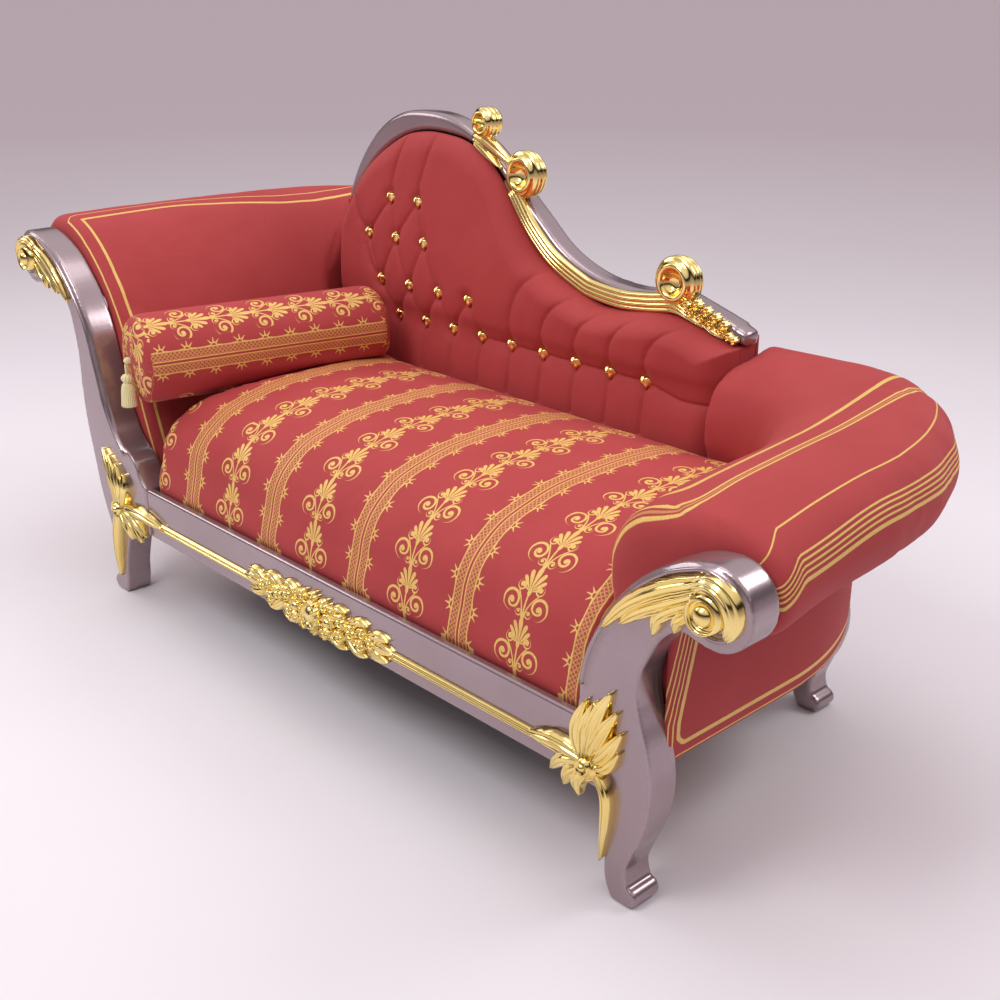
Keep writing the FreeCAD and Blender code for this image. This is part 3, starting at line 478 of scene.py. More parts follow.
# %% Boards, rollers and covered stiles
ARM_WOOD = ("foot_arm_board", "head_arm_board", "foot_arm_roller", "head_arm_roller")
END_DEEP = 2.0 * MM
SET_BACK = 22.0 * MM
for node in ARM_WOOD:
    bm = solid_copy(node)
    low = min(v.co.y for v in bm.verts)
    for vert in bm.verts:
        if vert.co.y < low + END_DEEP:
            vert.co.y += SET_BACK
    dress(node + "_wood", finished(bm, node + "_wood", False), beech, "inner_frame", node)
for end in ("foot", "head"):
    name = "covered_" + end + "_stile"
    node = "back_stile_" + end
    dress(name, finished(solid_copy(node), name, False), plain_red, "plain_cover", node)

# %% [markdown]
# ## Swelling the pads
# A stuffed pad is a cloth skin pushed out from inside. The solid is remeshed into even squares, drawn in
# by a few millimetres and blown up as cloth under pressure. The move is capped, and held to nothing
# where the pad is nailed to the wood, so the pad keeps the room that its solid has.

# %% Pad helpers
def spots_of(mesh):
    """Vertex places in millimetres, in the drawing's own frame."""
    flat = np.empty(len(mesh.vertices) * 3)
    mesh.vertices.foreach_get("co", flat)
    return flat.reshape(-1, 3) / MM - np.array(SHIFT)


def move_to(mesh, spots):
    mesh.vertices.foreach_set("co", ((spots + np.array(SHIFT)) * MM).ravel())
    mesh.update()


def swell(mesh, cap, free, drawn_in=2.0, pressure=4.0, frames=20):
    """Blow the skin up as cloth, capped in millimetres; free is 0 where the pad is held, 1 elsewhere."""
    start = spots_of(mesh)
    normals = np.empty(len(mesh.vertices) * 3)
    mesh.vertices.foreach_get("normal", normals)
    start = start - normals.reshape(-1, 3) * (drawn_in * free)[:, None]
    move_to(mesh, start)
    skin = bpy.data.objects.new("skin", mesh)
    scene.collection.objects.link(skin)
    cloth = skin.modifiers.new("cloth", "CLOTH")
    cloth.settings.use_pressure = True
    cloth.settings.uniform_pressure_force = pressure
    cloth.settings.effector_weights.gravity = 0.0
    cloth.settings.quality = 4
    cloth.point_cache.frame_start = 1
    cloth.point_cache.frame_end = frames
    for number in range(1, frames + 1):
        scene.frame_set(number)
    blown = bpy.data.meshes.new_from_object(skin.evaluated_get(bpy.context.evaluated_depsgraph_get()))
    push = spots_of(blown) - start
    reach = np.linalg.norm(push, axis=1)
    push *= (free * np.minimum(1.0, cap / np.maximum(reach, 1e-6)))[:, None]
    bpy.data.objects.remove(skin)
    bpy.data.meshes.remove(blown)
    scene.frame_set(1)
    move_to(mesh, start + push)
    print(mesh.name, "swelled by up to", round(float(np.linalg.norm(push, axis=1).max()), 1), "mm")
    return mesh


def ruled(mesh, *columns):
    """Keep the cloth's own coordinates, in metres, on the mesh as the attribute 'cut'."""
    rows = np.zeros((len(mesh.vertices), 3))
    for i, column in enumerate(columns):
        rows[:, i] = column * MM
    layer = mesh.attributes.new("cut", "FLOAT_VECTOR", "POINT")
    layer.data.foreach_set("vector", rows.ravel())


def curve_through(points, count):
    """Evenly spaced points on a smooth curve through a few given points."""
    p = np.array(points, dtype=float)
    ends = np.vstack([2 * p[0] - p[1], p, 2 * p[-1] - p[-2]])
    rows = []
    for i in range(len(p) - 1):
        a, b, c, d = ends[i:i + 4]
        t = np.linspace(0.0, 1.0, 25)[:, None]
        rows.append(0.5 * (2 * b + (c - a) * t + (2 * a - 5 * b + 4 * c - d) * t ** 2
                           + (3 * b - a - 3 * c + d) * t ** 3))
    fine = np.vstack(rows)
    run = np.concatenate([[0.0], np.cumsum(np.linalg.norm(np.diff(fine, axis=0), axis=1))])
    at = np.linspace(0.0, run[-1], count)
    return np.stack([np.interp(at, run, fine[:, k]) for k in range(fine.shape[1])], axis=1)


def step(x, low, high):
    """0 under low, 1 over high, smooth between."""
    t = np.clip((x - low) / (high - low), 0.0, 1.0)
    return t * t * (3.0 - 2.0 * t)


# %% [markdown]
# ## Woven stripes
# The seat cloth repeats every quarter of a metre: a chain of palmettes, each a fan of leaves over two
# scrolls, and midway a double lace band with little crowns. On a loom this is a brocade. Here each motif
# is a distance sum: polar coordinates give the fan, a slanted ring count gives the scrolls, and two
# crossed sawtooths give the lattice.

# %% Brocade motifs
def cut_of(finish):
    cut = finish.node("ShaderNodeAttribute", {"attribute_name": "cut"}, {}, "Vector")
    parts = finish.node("ShaderNodeSeparateXYZ", {}, {0: cut})
    return [Wire(finish, parts.socket.node.outputs[i]) for i in range(3)]


FINE = 0.00035
UNIT = 0.083
REPEAT = 0.2535
FAN_FOOT = 0.042
FAN_REACH = 0.042
LACE_MIDDLE = 0.0122
LACE_MESH = 0.0085
CROWN_GAP = 0.0265


def spread(x, y):
    return (x * x + y * y).math("SQRT")


def scroll(x, y, cx, cy, radius, gap, line, way):
    """A spiral that opens outward from its centre."""
    dx = x - cx
    dy = y - cy
    far = spread(dx, dy)
    turn = dy.math("ARCTAN2", dx) * (way / (2.0 * math.pi))
    ring = abs((far / gap + turn).math("FRACT") - 0.5) * gap
    eye = far.below(line * 1.9, FINE)
    return (ring.below(line, FINE) & far.below(radius, FINE)) | eye


def palmette(x, y):
    """Fan of leaves over pairs of scrolls; x is the distance from the chain's middle."""
    dy = y - FAN_FOOT
    far = spread(x, dy)
    angle = x.math("ARCTAN2", dy)
    pitch = math.radians(22.0)
    lean = (angle / pitch + 0.5).math("FLOOR") * pitch
    reach = FAN_REACH - lean * 0.0155
    share = far / reach
    wide = far * ((1.0 - share.math("POWER", 7.0)) | 0.0).math("POWER", 0.5) * (0.37 * pitch)
    fan = (abs(angle - lean) * far).below(wide, FINE) & angle.below(1.35, 0.05) & share.below(1.0, 0.02)
    heart = spread(x, (y - 0.041) * 0.6).below(0.0036, FINE)
    stem = x.below(0.0015, FINE) & y.below(FAN_FOOT, FINE)
    spray = abs(x - y * y * 11.0 - 0.002).below(0.0013, FINE) & y.below(FAN_FOOT, FINE)
    large = scroll(x, y, 0.0265, 0.0225, 0.0185, 0.0118, 0.0021, 1.0)
    curl = scroll(x, y, 0.0175, 0.0485, 0.0085, 0.0058, 0.0013, -1.0)
    small = scroll(x, y, 0.0095, 0.0095, 0.0075, 0.0056, 0.0012, -1.0)
    drop = (x + abs(y - 0.0035) * 0.8).below(0.0042, FINE)
    return fan | heart | stem | (spray & x.below(0.02, FINE)) | large | curl | small | drop


def lace(x, v):
    """Half of a double lace band; x is the distance from its middle."""
    inside = abs(x - LACE_MIDDLE).below(0.0085, FINE)
    slant = ((x + v) / LACE_MESH).math("FRACT")
    other = ((x - v) / LACE_MESH).math("FRACT")
    net = abs(slant - 0.5).below(0.15, 0.06) | abs(other - 0.5).below(0.15, 0.06)
    rails = abs(abs(x - LACE_MIDDLE) - 0.0088).below(0.0011, FINE)
    along = v.math("PINGPONG", CROWN_GAP)
    dx = x - 0.0215
    far = spread(dx, along)
    angle = along.math("ARCTAN2", dx)
    pitch = math.radians(44.0)
    lean = (angle / pitch + 0.5).math("FLOOR") * pitch
    ray = (abs(angle - lean) * far).below(0.0026 - far * 0.13, FINE) & far.below(0.016, FINE)
    arch = abs(far - 0.0058).below(0.0013, FINE)
    crown = (ray & (far * -1.0).below(-0.0045, FINE)) | arch
    return (inside & (net * 0.5 + 0.06)) | rails | (crown & (dx * -1.0).below(0.0, FINE))


brocade = Finish("brocade_cloth")
across, along, plain = cut_of(brocade)
from_chain = across.math("PINGPONG", REPEAT / 2.0)
unit = (along / UNIT).math("FRACT") * UNIT
woven = palmette(from_chain, unit) | lace(REPEAT / 2.0 - from_chain, along)
red_cloth(brocade, woven & (1.0 - plain))
print("brocade nodes", len(brocade.tree.nodes))

# %% [markdown]
# ## Seat
# The seat is one deep pad, crowned from front to back, that the front rail holds in its rebate. The
# stripes run from front to back over the crown, so the cloth's length is measured along that curve.

# %% Seat pad
CROWN = [(-345, 270), (-343, 321), (-330, 367), (-275, 423), (-177, 457), (-33, 470),
         (95, 466), (208, 452)]
CHAIN_X = -496.0
PLAIN = 1000.0
seat = even_skin(8.0, 8, "seat_mattress")
spots = spots_of(seat)
seat = swell(seat, 7.0, step(spots[:, 2], 275.0, 330.0), 3.0)
spots = spots_of(seat)
crown = curve_through(CROWN, 240)
run = np.concatenate([[0.0], np.cumsum(np.linalg.norm(np.diff(crown, axis=0), axis=1))])
gap_y = spots[:, 1:2] - crown[None, :, 0]
gap_z = spots[:, 2:3] - crown[None, :, 1]
near = (gap_y ** 2 + gap_z ** 2).argmin(axis=1)
end_face = PLAIN * (1.0 - step(spots[:, 0], -501.0, -493.0))
ruled(seat, spots[:, 0] - CHAIN_X, run[near], end_face)
seat_pad = dress("seat_pad", seat, brocade, "striped_cover", "seat_mattress")

# %% [markdown]
# ## Bolster
# A round cushion lies in the head end. Its cloth is one strip of the brocade rolled round the stuffing:
# a palmette chain on top and the lace band towards the sitter, with a ring of palmettes on each end.

# %% Bolster roll
BOLSTER_TURN = math.radians(12.5)
BOLSTER_END = np.array((-557.0, -342.0, 518.0))
BOLSTER_AXIS = np.array((math.sin(BOLSTER_TURN), math.cos(BOLSTER_TURN), 0.0))
BOLSTER_SIDE = np.array((math.cos(BOLSTER_TURN), -math.sin(BOLSTER_TURN), 0.0))
BOLSTER_R = 86.0
BOLSTER_L = 525.0
BOLSTER_LOW = 474.0
SEAT_END = [(-509, 280), (-508, 330), (-500, 395), (-472, 440), (-418, 464), (-300, 470)]
roll = even_skin(5.0, 8, "bolster")
spots = spots_of(roll)
aside = (spots - BOLSTER_END) @ BOLSTER_SIDE
bottom = (spots[:, 2] < BOLSTER_LOW) & (np.abs(aside) < 0.84 * BOLSTER_R)
seat_top = np.minimum(np.interp(spots[:, 1], crown[:, 0], crown[:, 1]),
                      np.interp(spots[:, 0], [p[0] for p in SEAT_END], [p[1] for p in SEAT_END]))
round_low = BOLSTER_END[2] - np.sqrt(np.maximum(0.0, (BOLSTER_R + 1.0) ** 2 - aside ** 2))
spots[:, 2] = np.where(bottom, np.clip(round_low, seat_top + 6.0, BOLSTER_LOW), spots[:, 2])
move_to(roll, spots)
bm = bmesh.new()
bm.from_mesh(roll)
eased(bm, bm.verts, 6)
bm.to_mesh(roll)
bm.free()
spots = spots_of(roll)
roll = swell(roll, 6.0, step(spots[:, 2], 472.0, 500.0), -1.0)

# %% Strip of brocade on the bolster
END_CLOTH = 14.0
END_RING = 52.0
CHAIN_ANGLE = 0.54
BAND_ANGLE = 1.48
MIDWAY = 1.01
from_end = spots_of(roll) - BOLSTER_END
length = from_end @ BOLSTER_AXIS
side = from_end @ BOLSTER_SIDE
rise = from_end[:, 2]
radius = np.hypot(side, rise)
angle = np.arctan2(side, rise)
on_end = (length < END_CLOTH) | (length > BOLSTER_L - END_CLOTH)
band = REPEAT / 2.0 / MM + (angle - BAND_ANGLE) * BOLSTER_R
around = np.where(angle < MIDWAY, (angle - CHAIN_ANGLE) * BOLSTER_R, band)
ring = radius - END_RING
ruled(roll, np.where(on_end, ring, around), np.where(on_end, angle * 53.0, length + 20.0))
bolster = dress("bolster_roll", roll, brocade, "striped_cover", "bolster")

# %% [markdown]
# ## Rolled arms
# Each arm is a padded wall that rolls outward at the top. Gold braid lines are woven into its plain red
# cloth: on the head arm a border of a thin and a thick line follows the front edge and the top; on the
# foot arm lines run along the roll. The distance from those edges is measured here and kept on the mesh.

# %% Distances on the arms
FOOT_CORNER = (282.0, 397.0)
HEAD_CORNER = (120.0, 150.0)
ARM_FRONT = -310.5
ROLL_OUT = 77.0
ROLL_UP = 520.0
ROLL_R = 85.0
ROLL_RISE = 28.0
CORNER_SOFT = 16.0
LINE_SOFT = 0.0004
BRAID_RAISE = 0.0009
THIN = 0.0017


def held(spots):
    """0 at the arm's foot and front edge, where the cloth is nailed, and 1 elsewhere."""
    return step(spots[:, 2], 262.0, 300.0) * step(spots[:, 1], -309.0, -285.0)


def outward(spots, sign, face, corner):
    """Distance outward from an end's outer face, round its rear corner too."""
    a, b = corner
    cx = face - sign * a
    cy = SHELL_Y - b
    dx = (spots[:, 0] - cx) * sign
    dy = spots[:, 1] - cy
    share = np.hypot(dx / a, dy / b)
    bent = (1.0 - 1.0 / np.maximum(share, 1e-6)) * np.hypot(dx, dy)
    return np.where((dy > 0.0) & (dx > 0.0), bent, (spots[:, 0] - face) * sign)


def rounded_least(a, b, cut):
    """The lesser of two distances, with the corner between them cut off."""
    return np.minimum(np.minimum(a, b), (a + b) * 0.7071 - cut)


def line(value, middle, half):
    """A woven line of a given half width where the value passes the middle."""
    return abs(value - middle).below(half, LINE_SOFT)


# %% Foot arm
foot = even_skin(7.0, 26, "foot_arm_pad", "foot_arm_board", "foot_arm_roller")
spots = spots_of(foot)
foot = swell(foot, 4.0, held(spots), -5.0)
spots = spots_of(foot)
out = outward(spots, 1.0, FOOT_X, FOOT_CORNER)
straight = 0.8 * (spots[:, 0] - FOOT_X) + 0.2 * out
front = spots[:, 1] - ARM_FRONT
rise = ROLL_RISE * step(spots[:, 1], -310.0, -60.0)
tilt = np.arctan2(out - ROLL_OUT, spots[:, 2] - ROLL_UP - rise)
girth = np.where(out < ROLL_OUT, out, ROLL_OUT + ROLL_R * tilt) - 0.8 * np.maximum(0.0, 45.0 - front)
inner = -11.0 - straight + np.maximum(0.0, 530.0 + rise - spots[:, 2]) * 0.8
bent = -np.logaddexp(-inner / CORNER_SOFT, -(front - 14.0) / CORNER_SOFT) * CORNER_SOFT
border = np.where(straight < 30.0, bent, inner)
border = np.where((straight > -45.0) & (spots[:, 2] < 500.0), -60.0, border)
ruled(foot, border, girth)

# %% Braid on the foot arm
FOUR_LINES = (0.160, 0.1685, 0.177, 0.1855)
BORDER_END = 0.107
foot_braid = Finish("foot_arm_cloth")
inset, girth_line = cut_of(foot_braid)[:2]
braid = line(abs(inset), 0.0058, 0.002) | line(inset, 0.0, 0.0014) * 0.45 | line(inset, 0.046, 0.0042)
braid = braid & girth_line.below(BORDER_END, 0.001)
braid = braid | line(girth_line, BORDER_END, THIN) | line(girth_line, 0.196, 0.0032)
for offset in FOUR_LINES:
    braid = braid | line(girth_line, offset, THIN)
red_cloth(foot_braid, braid, BRAID_RAISE)
foot_arm = dress("foot_arm", foot, foot_braid, "plain_cover", "foot_arm_pad")

# %% Head arm
head = even_skin(7.0, 22, "head_arm_pad", "head_arm_board", "head_arm_roller")
spots = spots_of(head)
head = swell(head, 4.0, held(spots), -4.0)
spots = spots_of(head)
out = outward(spots, -1.0, HEAD_X, HEAD_CORNER)
front = spots[:, 1] - ARM_FRONT - 9.0
edge = 128.0 - 70.0 * step(spots[:, 1], -100.0, 330.0)
from_top = edge - out + np.maximum(0.0, 735.0 - spots[:, 2]) * 0.5
ruled(head, rounded_least(front, from_top, 7.0))
head_braid = Finish("head_arm_cloth")
inset = cut_of(head_braid)[0]
red_cloth(head_braid, line(inset, 0.0, 0.0013) | line(inset, 0.024, 0.0028), BRAID_RAISE)
head_arm = dress("head_arm", head, head_braid, "plain_cover", "head_arm_pad")

# %% [markdown]
# ## End panels
# Each end is closed outside by a flat padded panel under the arm's roll. A thick line of braid runs along
# its bottom and turns up beside four thin ones at the post, and all of them wrap round the front edge.

# %% End panels
POST_LINES = (0.008, 0.0165, 0.025, 0.0335)
panel_braid = Finish("end_panel_cloth")
inset, height, from_front = cut_of(panel_braid)
bands = line(inset, 0.044, 0.0035) | line(height, 0.2345, 0.0012)
for offset in POST_LINES:
    bands = bands | line(from_front, offset, 0.0014)
red_cloth(panel_braid, bands, BRAID_RAISE)
for node, sign, face, corner in (("foot_end_panel", 1.0, FOOT_X, FOOT_CORNER),
                                 ("head_end_panel", -1.0, HEAD_X, HEAD_CORNER)):
    panel = even_skin(5.0, 2, node)
    spots = spots_of(panel)
    spots[:, 1] -= 16.0 * (1.0 - step(spots[:, 1], ARM_FRONT, ARM_FRONT + 60.0))
    if node == "foot_end_panel":
        spots[:, 0] -= 84.0 * (1.0 - step(spots[:, 0], 512.0, 620.0))
    else:
        spots[:, 2] += 26.0 * step(spots[:, 2], 540.0, 580.0) * step(spots[:, 1], -100.0, 250.0)
    move_to(panel, spots)
    panel = swell(panel, 3.0, step(spots[:, 2], 240.0, 280.0) * 0.8, 1.0)
    spots = spots_of(panel)
    front = spots[:, 1] - ARM_FRONT + 39.5 - np.maximum(0.0, spots[:, 2] - 286.0) * 0.2385
    low = spots[:, 2] - 207.0
    inset = rounded_least(front, low, 27.0)
    wrapped = np.maximum(0.0, -outward(spots, sign, face, corner) - 1.0)
    ruled(panel, inset - wrapped, spots[:, 2], front - wrapped)
    piece = dress(node + "_cloth", panel, panel_braid, "plain_cover", node)

# %% [markdown]
# ## Buttoned back
# The back is deep-buttoned: twine through the pad pulls each button in, and the slack cloth folds into
# pleats from button to button. A grid is laid over the pad's outline and each point is set back by its
# distance from the nearest pleat and button, which is how the twine shapes the real one. The puffs
# between are pushed forward, and the rim is turned back to the crest.

# %% Pleats and buttons
CREST_LOW = [(-659, 690), (-638, 745), (-577, 830), (-480, 893), (-410, 912), (-337, 913),
             (-262, 900), (-188, 856), (-100, 747), (-36, 692), (81, 645), (149, 639), (275, 652),
             (385, 628), (430, 618)]
PAD_FRONT = [(216, 250), (214, 440), (229, 533), (223, 575), (227, 650), (250, 820), (270, 960)]
TUFT_ROWS = [(-479, 88, 2, 775), (-543, 90, 3, 694), (-494, 93, 4, 602), (-441, 87, 9, 533)]
SLANT_REACH = 75
rows = [[(x0 + i * gap, z) for i in range(count)] for x0, gap, count, z in TUFT_ROWS]
pleats = []


def pleat_along(points, count):
    """A curved pleat as a chain of short straight ones."""
    run = curve_through(points, count)
    return list(zip(run[:-1], run[1:]))


for upper, lower in zip(rows[:-1], rows[1:]):
    pleats += [(p, q) for p in upper for q in lower if abs(p[0] - q[0]) < SLANT_REACH]
pleats += [((x, z), (x + 4, 440)) for x, z in rows[3]]
pleats += list(zip(rows[3][3:-1], rows[3][4:]))
pleats += [((255, 533), (340, 517)), ((340, 517), (424, 520))]
for x, z in rows[0]:
    pleats += pleat_along([(x, z), (x + 4, 815), (x + 18, 860), (x + 38, 912)], 5)
for x, z in rows[3][4:]:
    top = np.interp(x + 72, [p[0] for p in CREST_LOW], [p[1] for p in CREST_LOW])
    climb = [(0, 0.0), (-1, 0.34), (12, 0.64), (38, 0.87), (72, 1.03)]
    pleats += pleat_along([(x + dx, z + share * (top - z)) for dx, share in climb], 8)
for x, z in (rows[1][0], rows[2][0]):
    pleats += pleat_along([(x, z), (x - 30, z + 26), (x - 52, z + 68)], 5)
buttons = [p for row in rows for p in row]
front_line = curve_through([(z, y) for y, z in PAD_FRONT], 120)
low_line = curve_through(CREST_LOW, 200)
print("pleats", len(pleats), "buttons", len(buttons))

# %% Depth of the back's face
PAD_LEFT = -659.0
PAD_TURN = 423.0
PAD_REAR = 281.0
RIM = 42.0
FOLD_DEEP = 6.0
FOLD_SOFT = 3.8
PIT_DEEP = 11.0
PIT_WIDE = 15.0
PUFF = 2.4
FAR_OFF = 1e9


def back_face(x, z):
    """Depth of the pad's face, y in millimetres, at points of the back."""
    y = np.interp(z, front_line[:, 0], front_line[:, 1])
    fold = np.full(x.shape, FAR_OFF)
    for (ax, az), (bx, bz) in pleats:
        dx, dz = bx - ax, bz - az
        t = np.clip(((x - ax) * dx + (z - az) * dz) / (dx * dx + dz * dz), 0.0, 1.0)
        fold = np.minimum(fold, np.hypot(x - ax - t * dx, z - az - t * dz))
    knot = np.full(x.shape, FAR_OFF)
    for bx, bz in buttons:
        knot = np.minimum(knot, np.hypot(x - bx, z - bz))
    puff = PUFF * step(fold, 0.0, 30.0) * (1.0 - step(fold, 60.0, 170.0))
    pit = PIT_DEEP * np.exp(-(knot / PIT_WIDE) ** 2)
    face = y + FOLD_DEEP * np.exp(-fold / FOLD_SOFT) + pit - puff
    top = np.interp(x, low_line[:, 0], low_line[:, 1])
    slope = np.gradient(low_line[:, 1], low_line[:, 0])
    from_top = (top - z) / np.hypot(1.0, np.interp(x, low_line[:, 0], slope))
    rim = np.minimum(np.minimum(from_top, (x - PAD_LEFT) * 1.1), (PAD_TURN - x) * 0.8)
    inward = 1.0 - np.clip(rim, 0.0, RIM) / RIM
    turned = 1.0 - np.sqrt(np.maximum(0.0, 1.0 - inward ** 2))
    return face + (PAD_REAR - face) * turned


# %% Tufted pad
PAD_WIDE = 1081.0
PAD_LOW = 252.0
REAR_OF_BACK = 283.5
REAR_OF_END = 328.0
END_FROM = 0.4175
bm = bmesh.new()
grid(bm, 340, 220)
share = np.array([v.co[:2] for v in bm.verts]) * 0.5 + 0.5
x = PAD_LEFT + share[:, 0] * PAD_WIDE
top = np.interp(x, low_line[:, 0], low_line[:, 1])
z = PAD_LOW + share[:, 1] ** 0.9 * (top - PAD_LOW)
y = back_face(x, z)
for vert, a, b, c in zip(bm.verts, x, y, z):
    vert.co = drawn(a, b, c)
for vert in new_rim(bm, [e for e in bm.edges if e.is_boundary]):
    rear = REAR_OF_END if vert.co.x > END_FROM else REAR_OF_BACK
    vert.co.y = (rear + SHIFT.y) * MM
bmesh.ops.holes_fill(bm, edges=[e for e in bm.edges if e.is_boundary], sides=0)
bmesh.ops.recalc_face_normals(bm, faces=bm.faces)
back_pad = dress("tufted_back", finished(bm, "tufted_back"), plain_red, "plain_cover", "back_pad")

# %% [markdown]
# ## Gold knots
# Each button is a small knot of gold cord. A ball with slanting ridges reads as a wound knot at this
# size.

# %% Buttons
BUTTON_R = 12.5
BUTTON_DEEP = 10.0
BUTTON_OUT = 9.0
bm = bmesh.new()
for bx, bz in buttons:
    made = bmesh.ops.create_icosphere(bm, subdivisions=3, radius=1.0)["verts"]
    by = float(back_face(np.array([bx], float), np.array([bz], float))[0])
    for vert in made:
        d = vert.co.copy()
        lon = math.atan2(d.z, d.x)
        wound = 1.0 + 0.17 * math.cos(3.0 * lon + 4.0 * d.y)
        ball = Vector((d.x * BUTTON_R, d.y * BUTTON_DEEP, d.z * BUTTON_R)) * wound
        vert.co = drawn(*(Vector((bx, by - BUTTON_OUT, bz)) + ball))
bmesh.ops.recalc_face_normals(bm, faces=bm.faces)
dress("gold_knots", finished(bm, "gold_knots"), gilding, "gilding", "tuft_buttons")

# %% [markdown]
# ## Covers out of sight
# The rear of the back and the underside are closed with cloth stretched on the frame.

# %% Back cover and dust cover
COVERS = [("back_cover", plain_red, "plain_cover", 2, "crest_rail_wood"),
          ("dust_cover", dust_cloth, "dust_cloth", 1, "front_rail_wood")]
for node, finish, slot, axis, edge_wood in COVERS:
    bm = solid_copy(node)
    low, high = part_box(node)
    wide = high[0] - low[0]
    tall = high[axis] - low[axis]
    cloth_area = sum(f.calc_area() for f in bm.faces) / 2.0
    piece = dress(node + "_cloth", finished(bm, node + "_cloth", False), finish, slot, node)
    min(cloth_area, wide * tall)
    print(node, round(cloth_area, 3), "square metres")

# %% [markdown]
# ## Carved and gilded leaves
# The gilded mounts are carved in low relief. One helper bends a grid along a curved midrib into a leaf:
# its edge is scalloped into lobes, its face is domed with a groove down the middle and fine veins, and
# its rim is drawn back to the wood so that nothing hangs in the air. A second helper makes a boss of
# petals, and a third a ribbed tube bent round the end of a scroll.

# %% Carving helpers
SINK = 0.6


def relief(bm, verts, back):
    """Close a raised patch by drawing its rim straight back to the wood."""
    faces = {f for v in verts for f in v.link_faces}
    rim = {e for f in faces for e in f.edges if e.is_boundary}
    for vert in new_rim(bm, list(rim)):
        vert.co.y = (back + SINK + SHIFT.y) * MM


def leaf(bm, midrib, width, height, back, lobes, lift):
    """Lobed leaf along a midrib of (x, z) points, standing forward of the plane y = back."""
    run = curve_through(midrib, 25)
    way = np.gradient(run, axis=0)
    way /= np.linalg.norm(way, axis=1)[:, None]
    verts = grid(bm, 24, 18)
    for vert in verts:
        t = vert.co.x * 0.5 + 0.5
        c = vert.co.y
        at = np.array([np.interp(t * 24.0, range(25), run[:, k]) for k in (0, 1)])
        along = way[int(round(t * 24.0))]
        notch = 0.9 + 0.1 * abs(math.sin(math.pi * (lobes * t + 0.3 * abs(c)))) ** 0.6
        half = 0.5 * width * (math.sin(math.pi * min(1.0, 0.1 + 0.9 * t) ** 0.75) ** 0.6 * notch + 0.03)
        spot = at + np.array((-along[1], along[0])) * (c * half)
        dome = (1.0 - c * c) ** 0.6 * (0.45 + 0.55 * math.sin(math.pi * min(1.0, 0.15 + 0.8 * t)))
        dome *= 1.0 - 0.7 * t ** 6
        vein = 0.26 * math.cos(c * 2.6 * math.pi) * (1.0 - c * c) - 0.4 * math.exp(-(c / 0.11) ** 2)
        up = height * (0.16 + 0.84 * dome + vein * (1.0 - t ** 4)) + lift * t * t * (1.0 - abs(c) * 0.6)
        vert.co = drawn(spot[0], back - up, spot[1])
    relief(bm, verts, back)


def boss(bm, x, z, radius, height, back, petals, squash, eye):
    """Round boss: a ring of petals about a domed eye."""
    verts = grid(bm, 40, 10)
    for vert in verts:
        angle = vert.co.x * math.pi
        t = vert.co.y * 0.5 + 0.5
        scallop = abs(math.cos(petals * angle / 2.0)) ** 0.6 if petals else 1.0
        r = radius * t * (1.0 - 0.26 * (1.0 - scallop) * t)
        past_eye = min(1.0, max(0.0, (t - eye) / (1.0 - eye)))
        ring = math.sin(math.pi * past_eye) ** 0.7 * (0.5 + 0.3 * scallop)
        dome = math.sqrt(max(0.0, 1.0 - (t / eye) ** 2)) if t < eye else 0.0
        up = height * (0.16 + (0.84 * dome + 0.1 if t < eye else ring + 0.05))
        vert.co = drawn(x + r * math.cos(angle), back - up, z + squash * r * math.sin(angle))
    bmesh.ops.remove_doubles(bm, verts=verts, dist=1e-6)
    relief(bm, [v for v in verts if v.is_valid], back)


def shell(bm, x, z, sign, start, sweep, inner, outer, height, back, ribs):
    """Ribbed tube bent round a centre, from one angle on."""
    verts = grid(bm, 48, 18)
    for vert in verts:
        t = vert.co.x * 0.5 + 0.5
        c = vert.co.y
        angle = math.radians(start + sweep * t)
        fade = math.sin(math.pi * min(1.0, 0.12 + 0.8 * t)) ** 0.5
        r = 0.5 * (inner + outer) + c * (0.5 * (outer - inner) * fade)
        dome = math.sqrt(max(0.0, 1.0 - 0.9 * c * c))
        up = height * fade * (dome * 0.85 + 0.1 * math.cos(c * math.pi * ribs))
        vert.co = drawn(x + sign * r * math.cos(angle), back - up, z + r * math.sin(angle))
    relief(bm, verts, back)


def carved(bm, name, *nodes):
    """Dress a carving in gilding."""
    bmesh.ops.recalc_face_normals(bm, faces=bm.faces)
    dress(name, finished(bm, name), gilding, "gilding", *nodes)


# %% Leaves on the two scrolls
FACE = FRONT_Y - 0.2
FOOT_SCROLL = [([(80, 543), (15, 511), (-38, 473), (-86, 420)], 30, 7),
               ([(68, 522), (10, 489), (-25, 465), (-54, 438)], 32, 5),
               ([(66, 511), (32, 490), (12, 470), (4, 443)], 28, 4),
               ([(68, 501), (52, 487), (43, 476), (39, 459)], 20, 3)]
HEAD_SCROLL = [([(140, 694), (92, 672), (52, 642), (18, 604)], 32, 6),
               ([(136, 676), (104, 658), (78, 640), (58, 614)], 28, 4),
               ([(138, 664), (118, 648), (106, 636), (98, 618)], 20, 3)]
SCROLLS = [("foot_scroll", FOOT_X, 1.0, FOOT_SCROLL, 18.0, 4.0,
            (92.0, 508.0, 20.0, 50.0, 25.0), (90.0, 506.0, 26.0, 28.0)),
           ("head_scroll", HEAD_X, -1.0, HEAD_SCROLL, 14.0, 3.0,
            (160.0, 674.0, 18.0, 46.0, 24.0), (158.0, 672.0, 24.0, 26.0))]
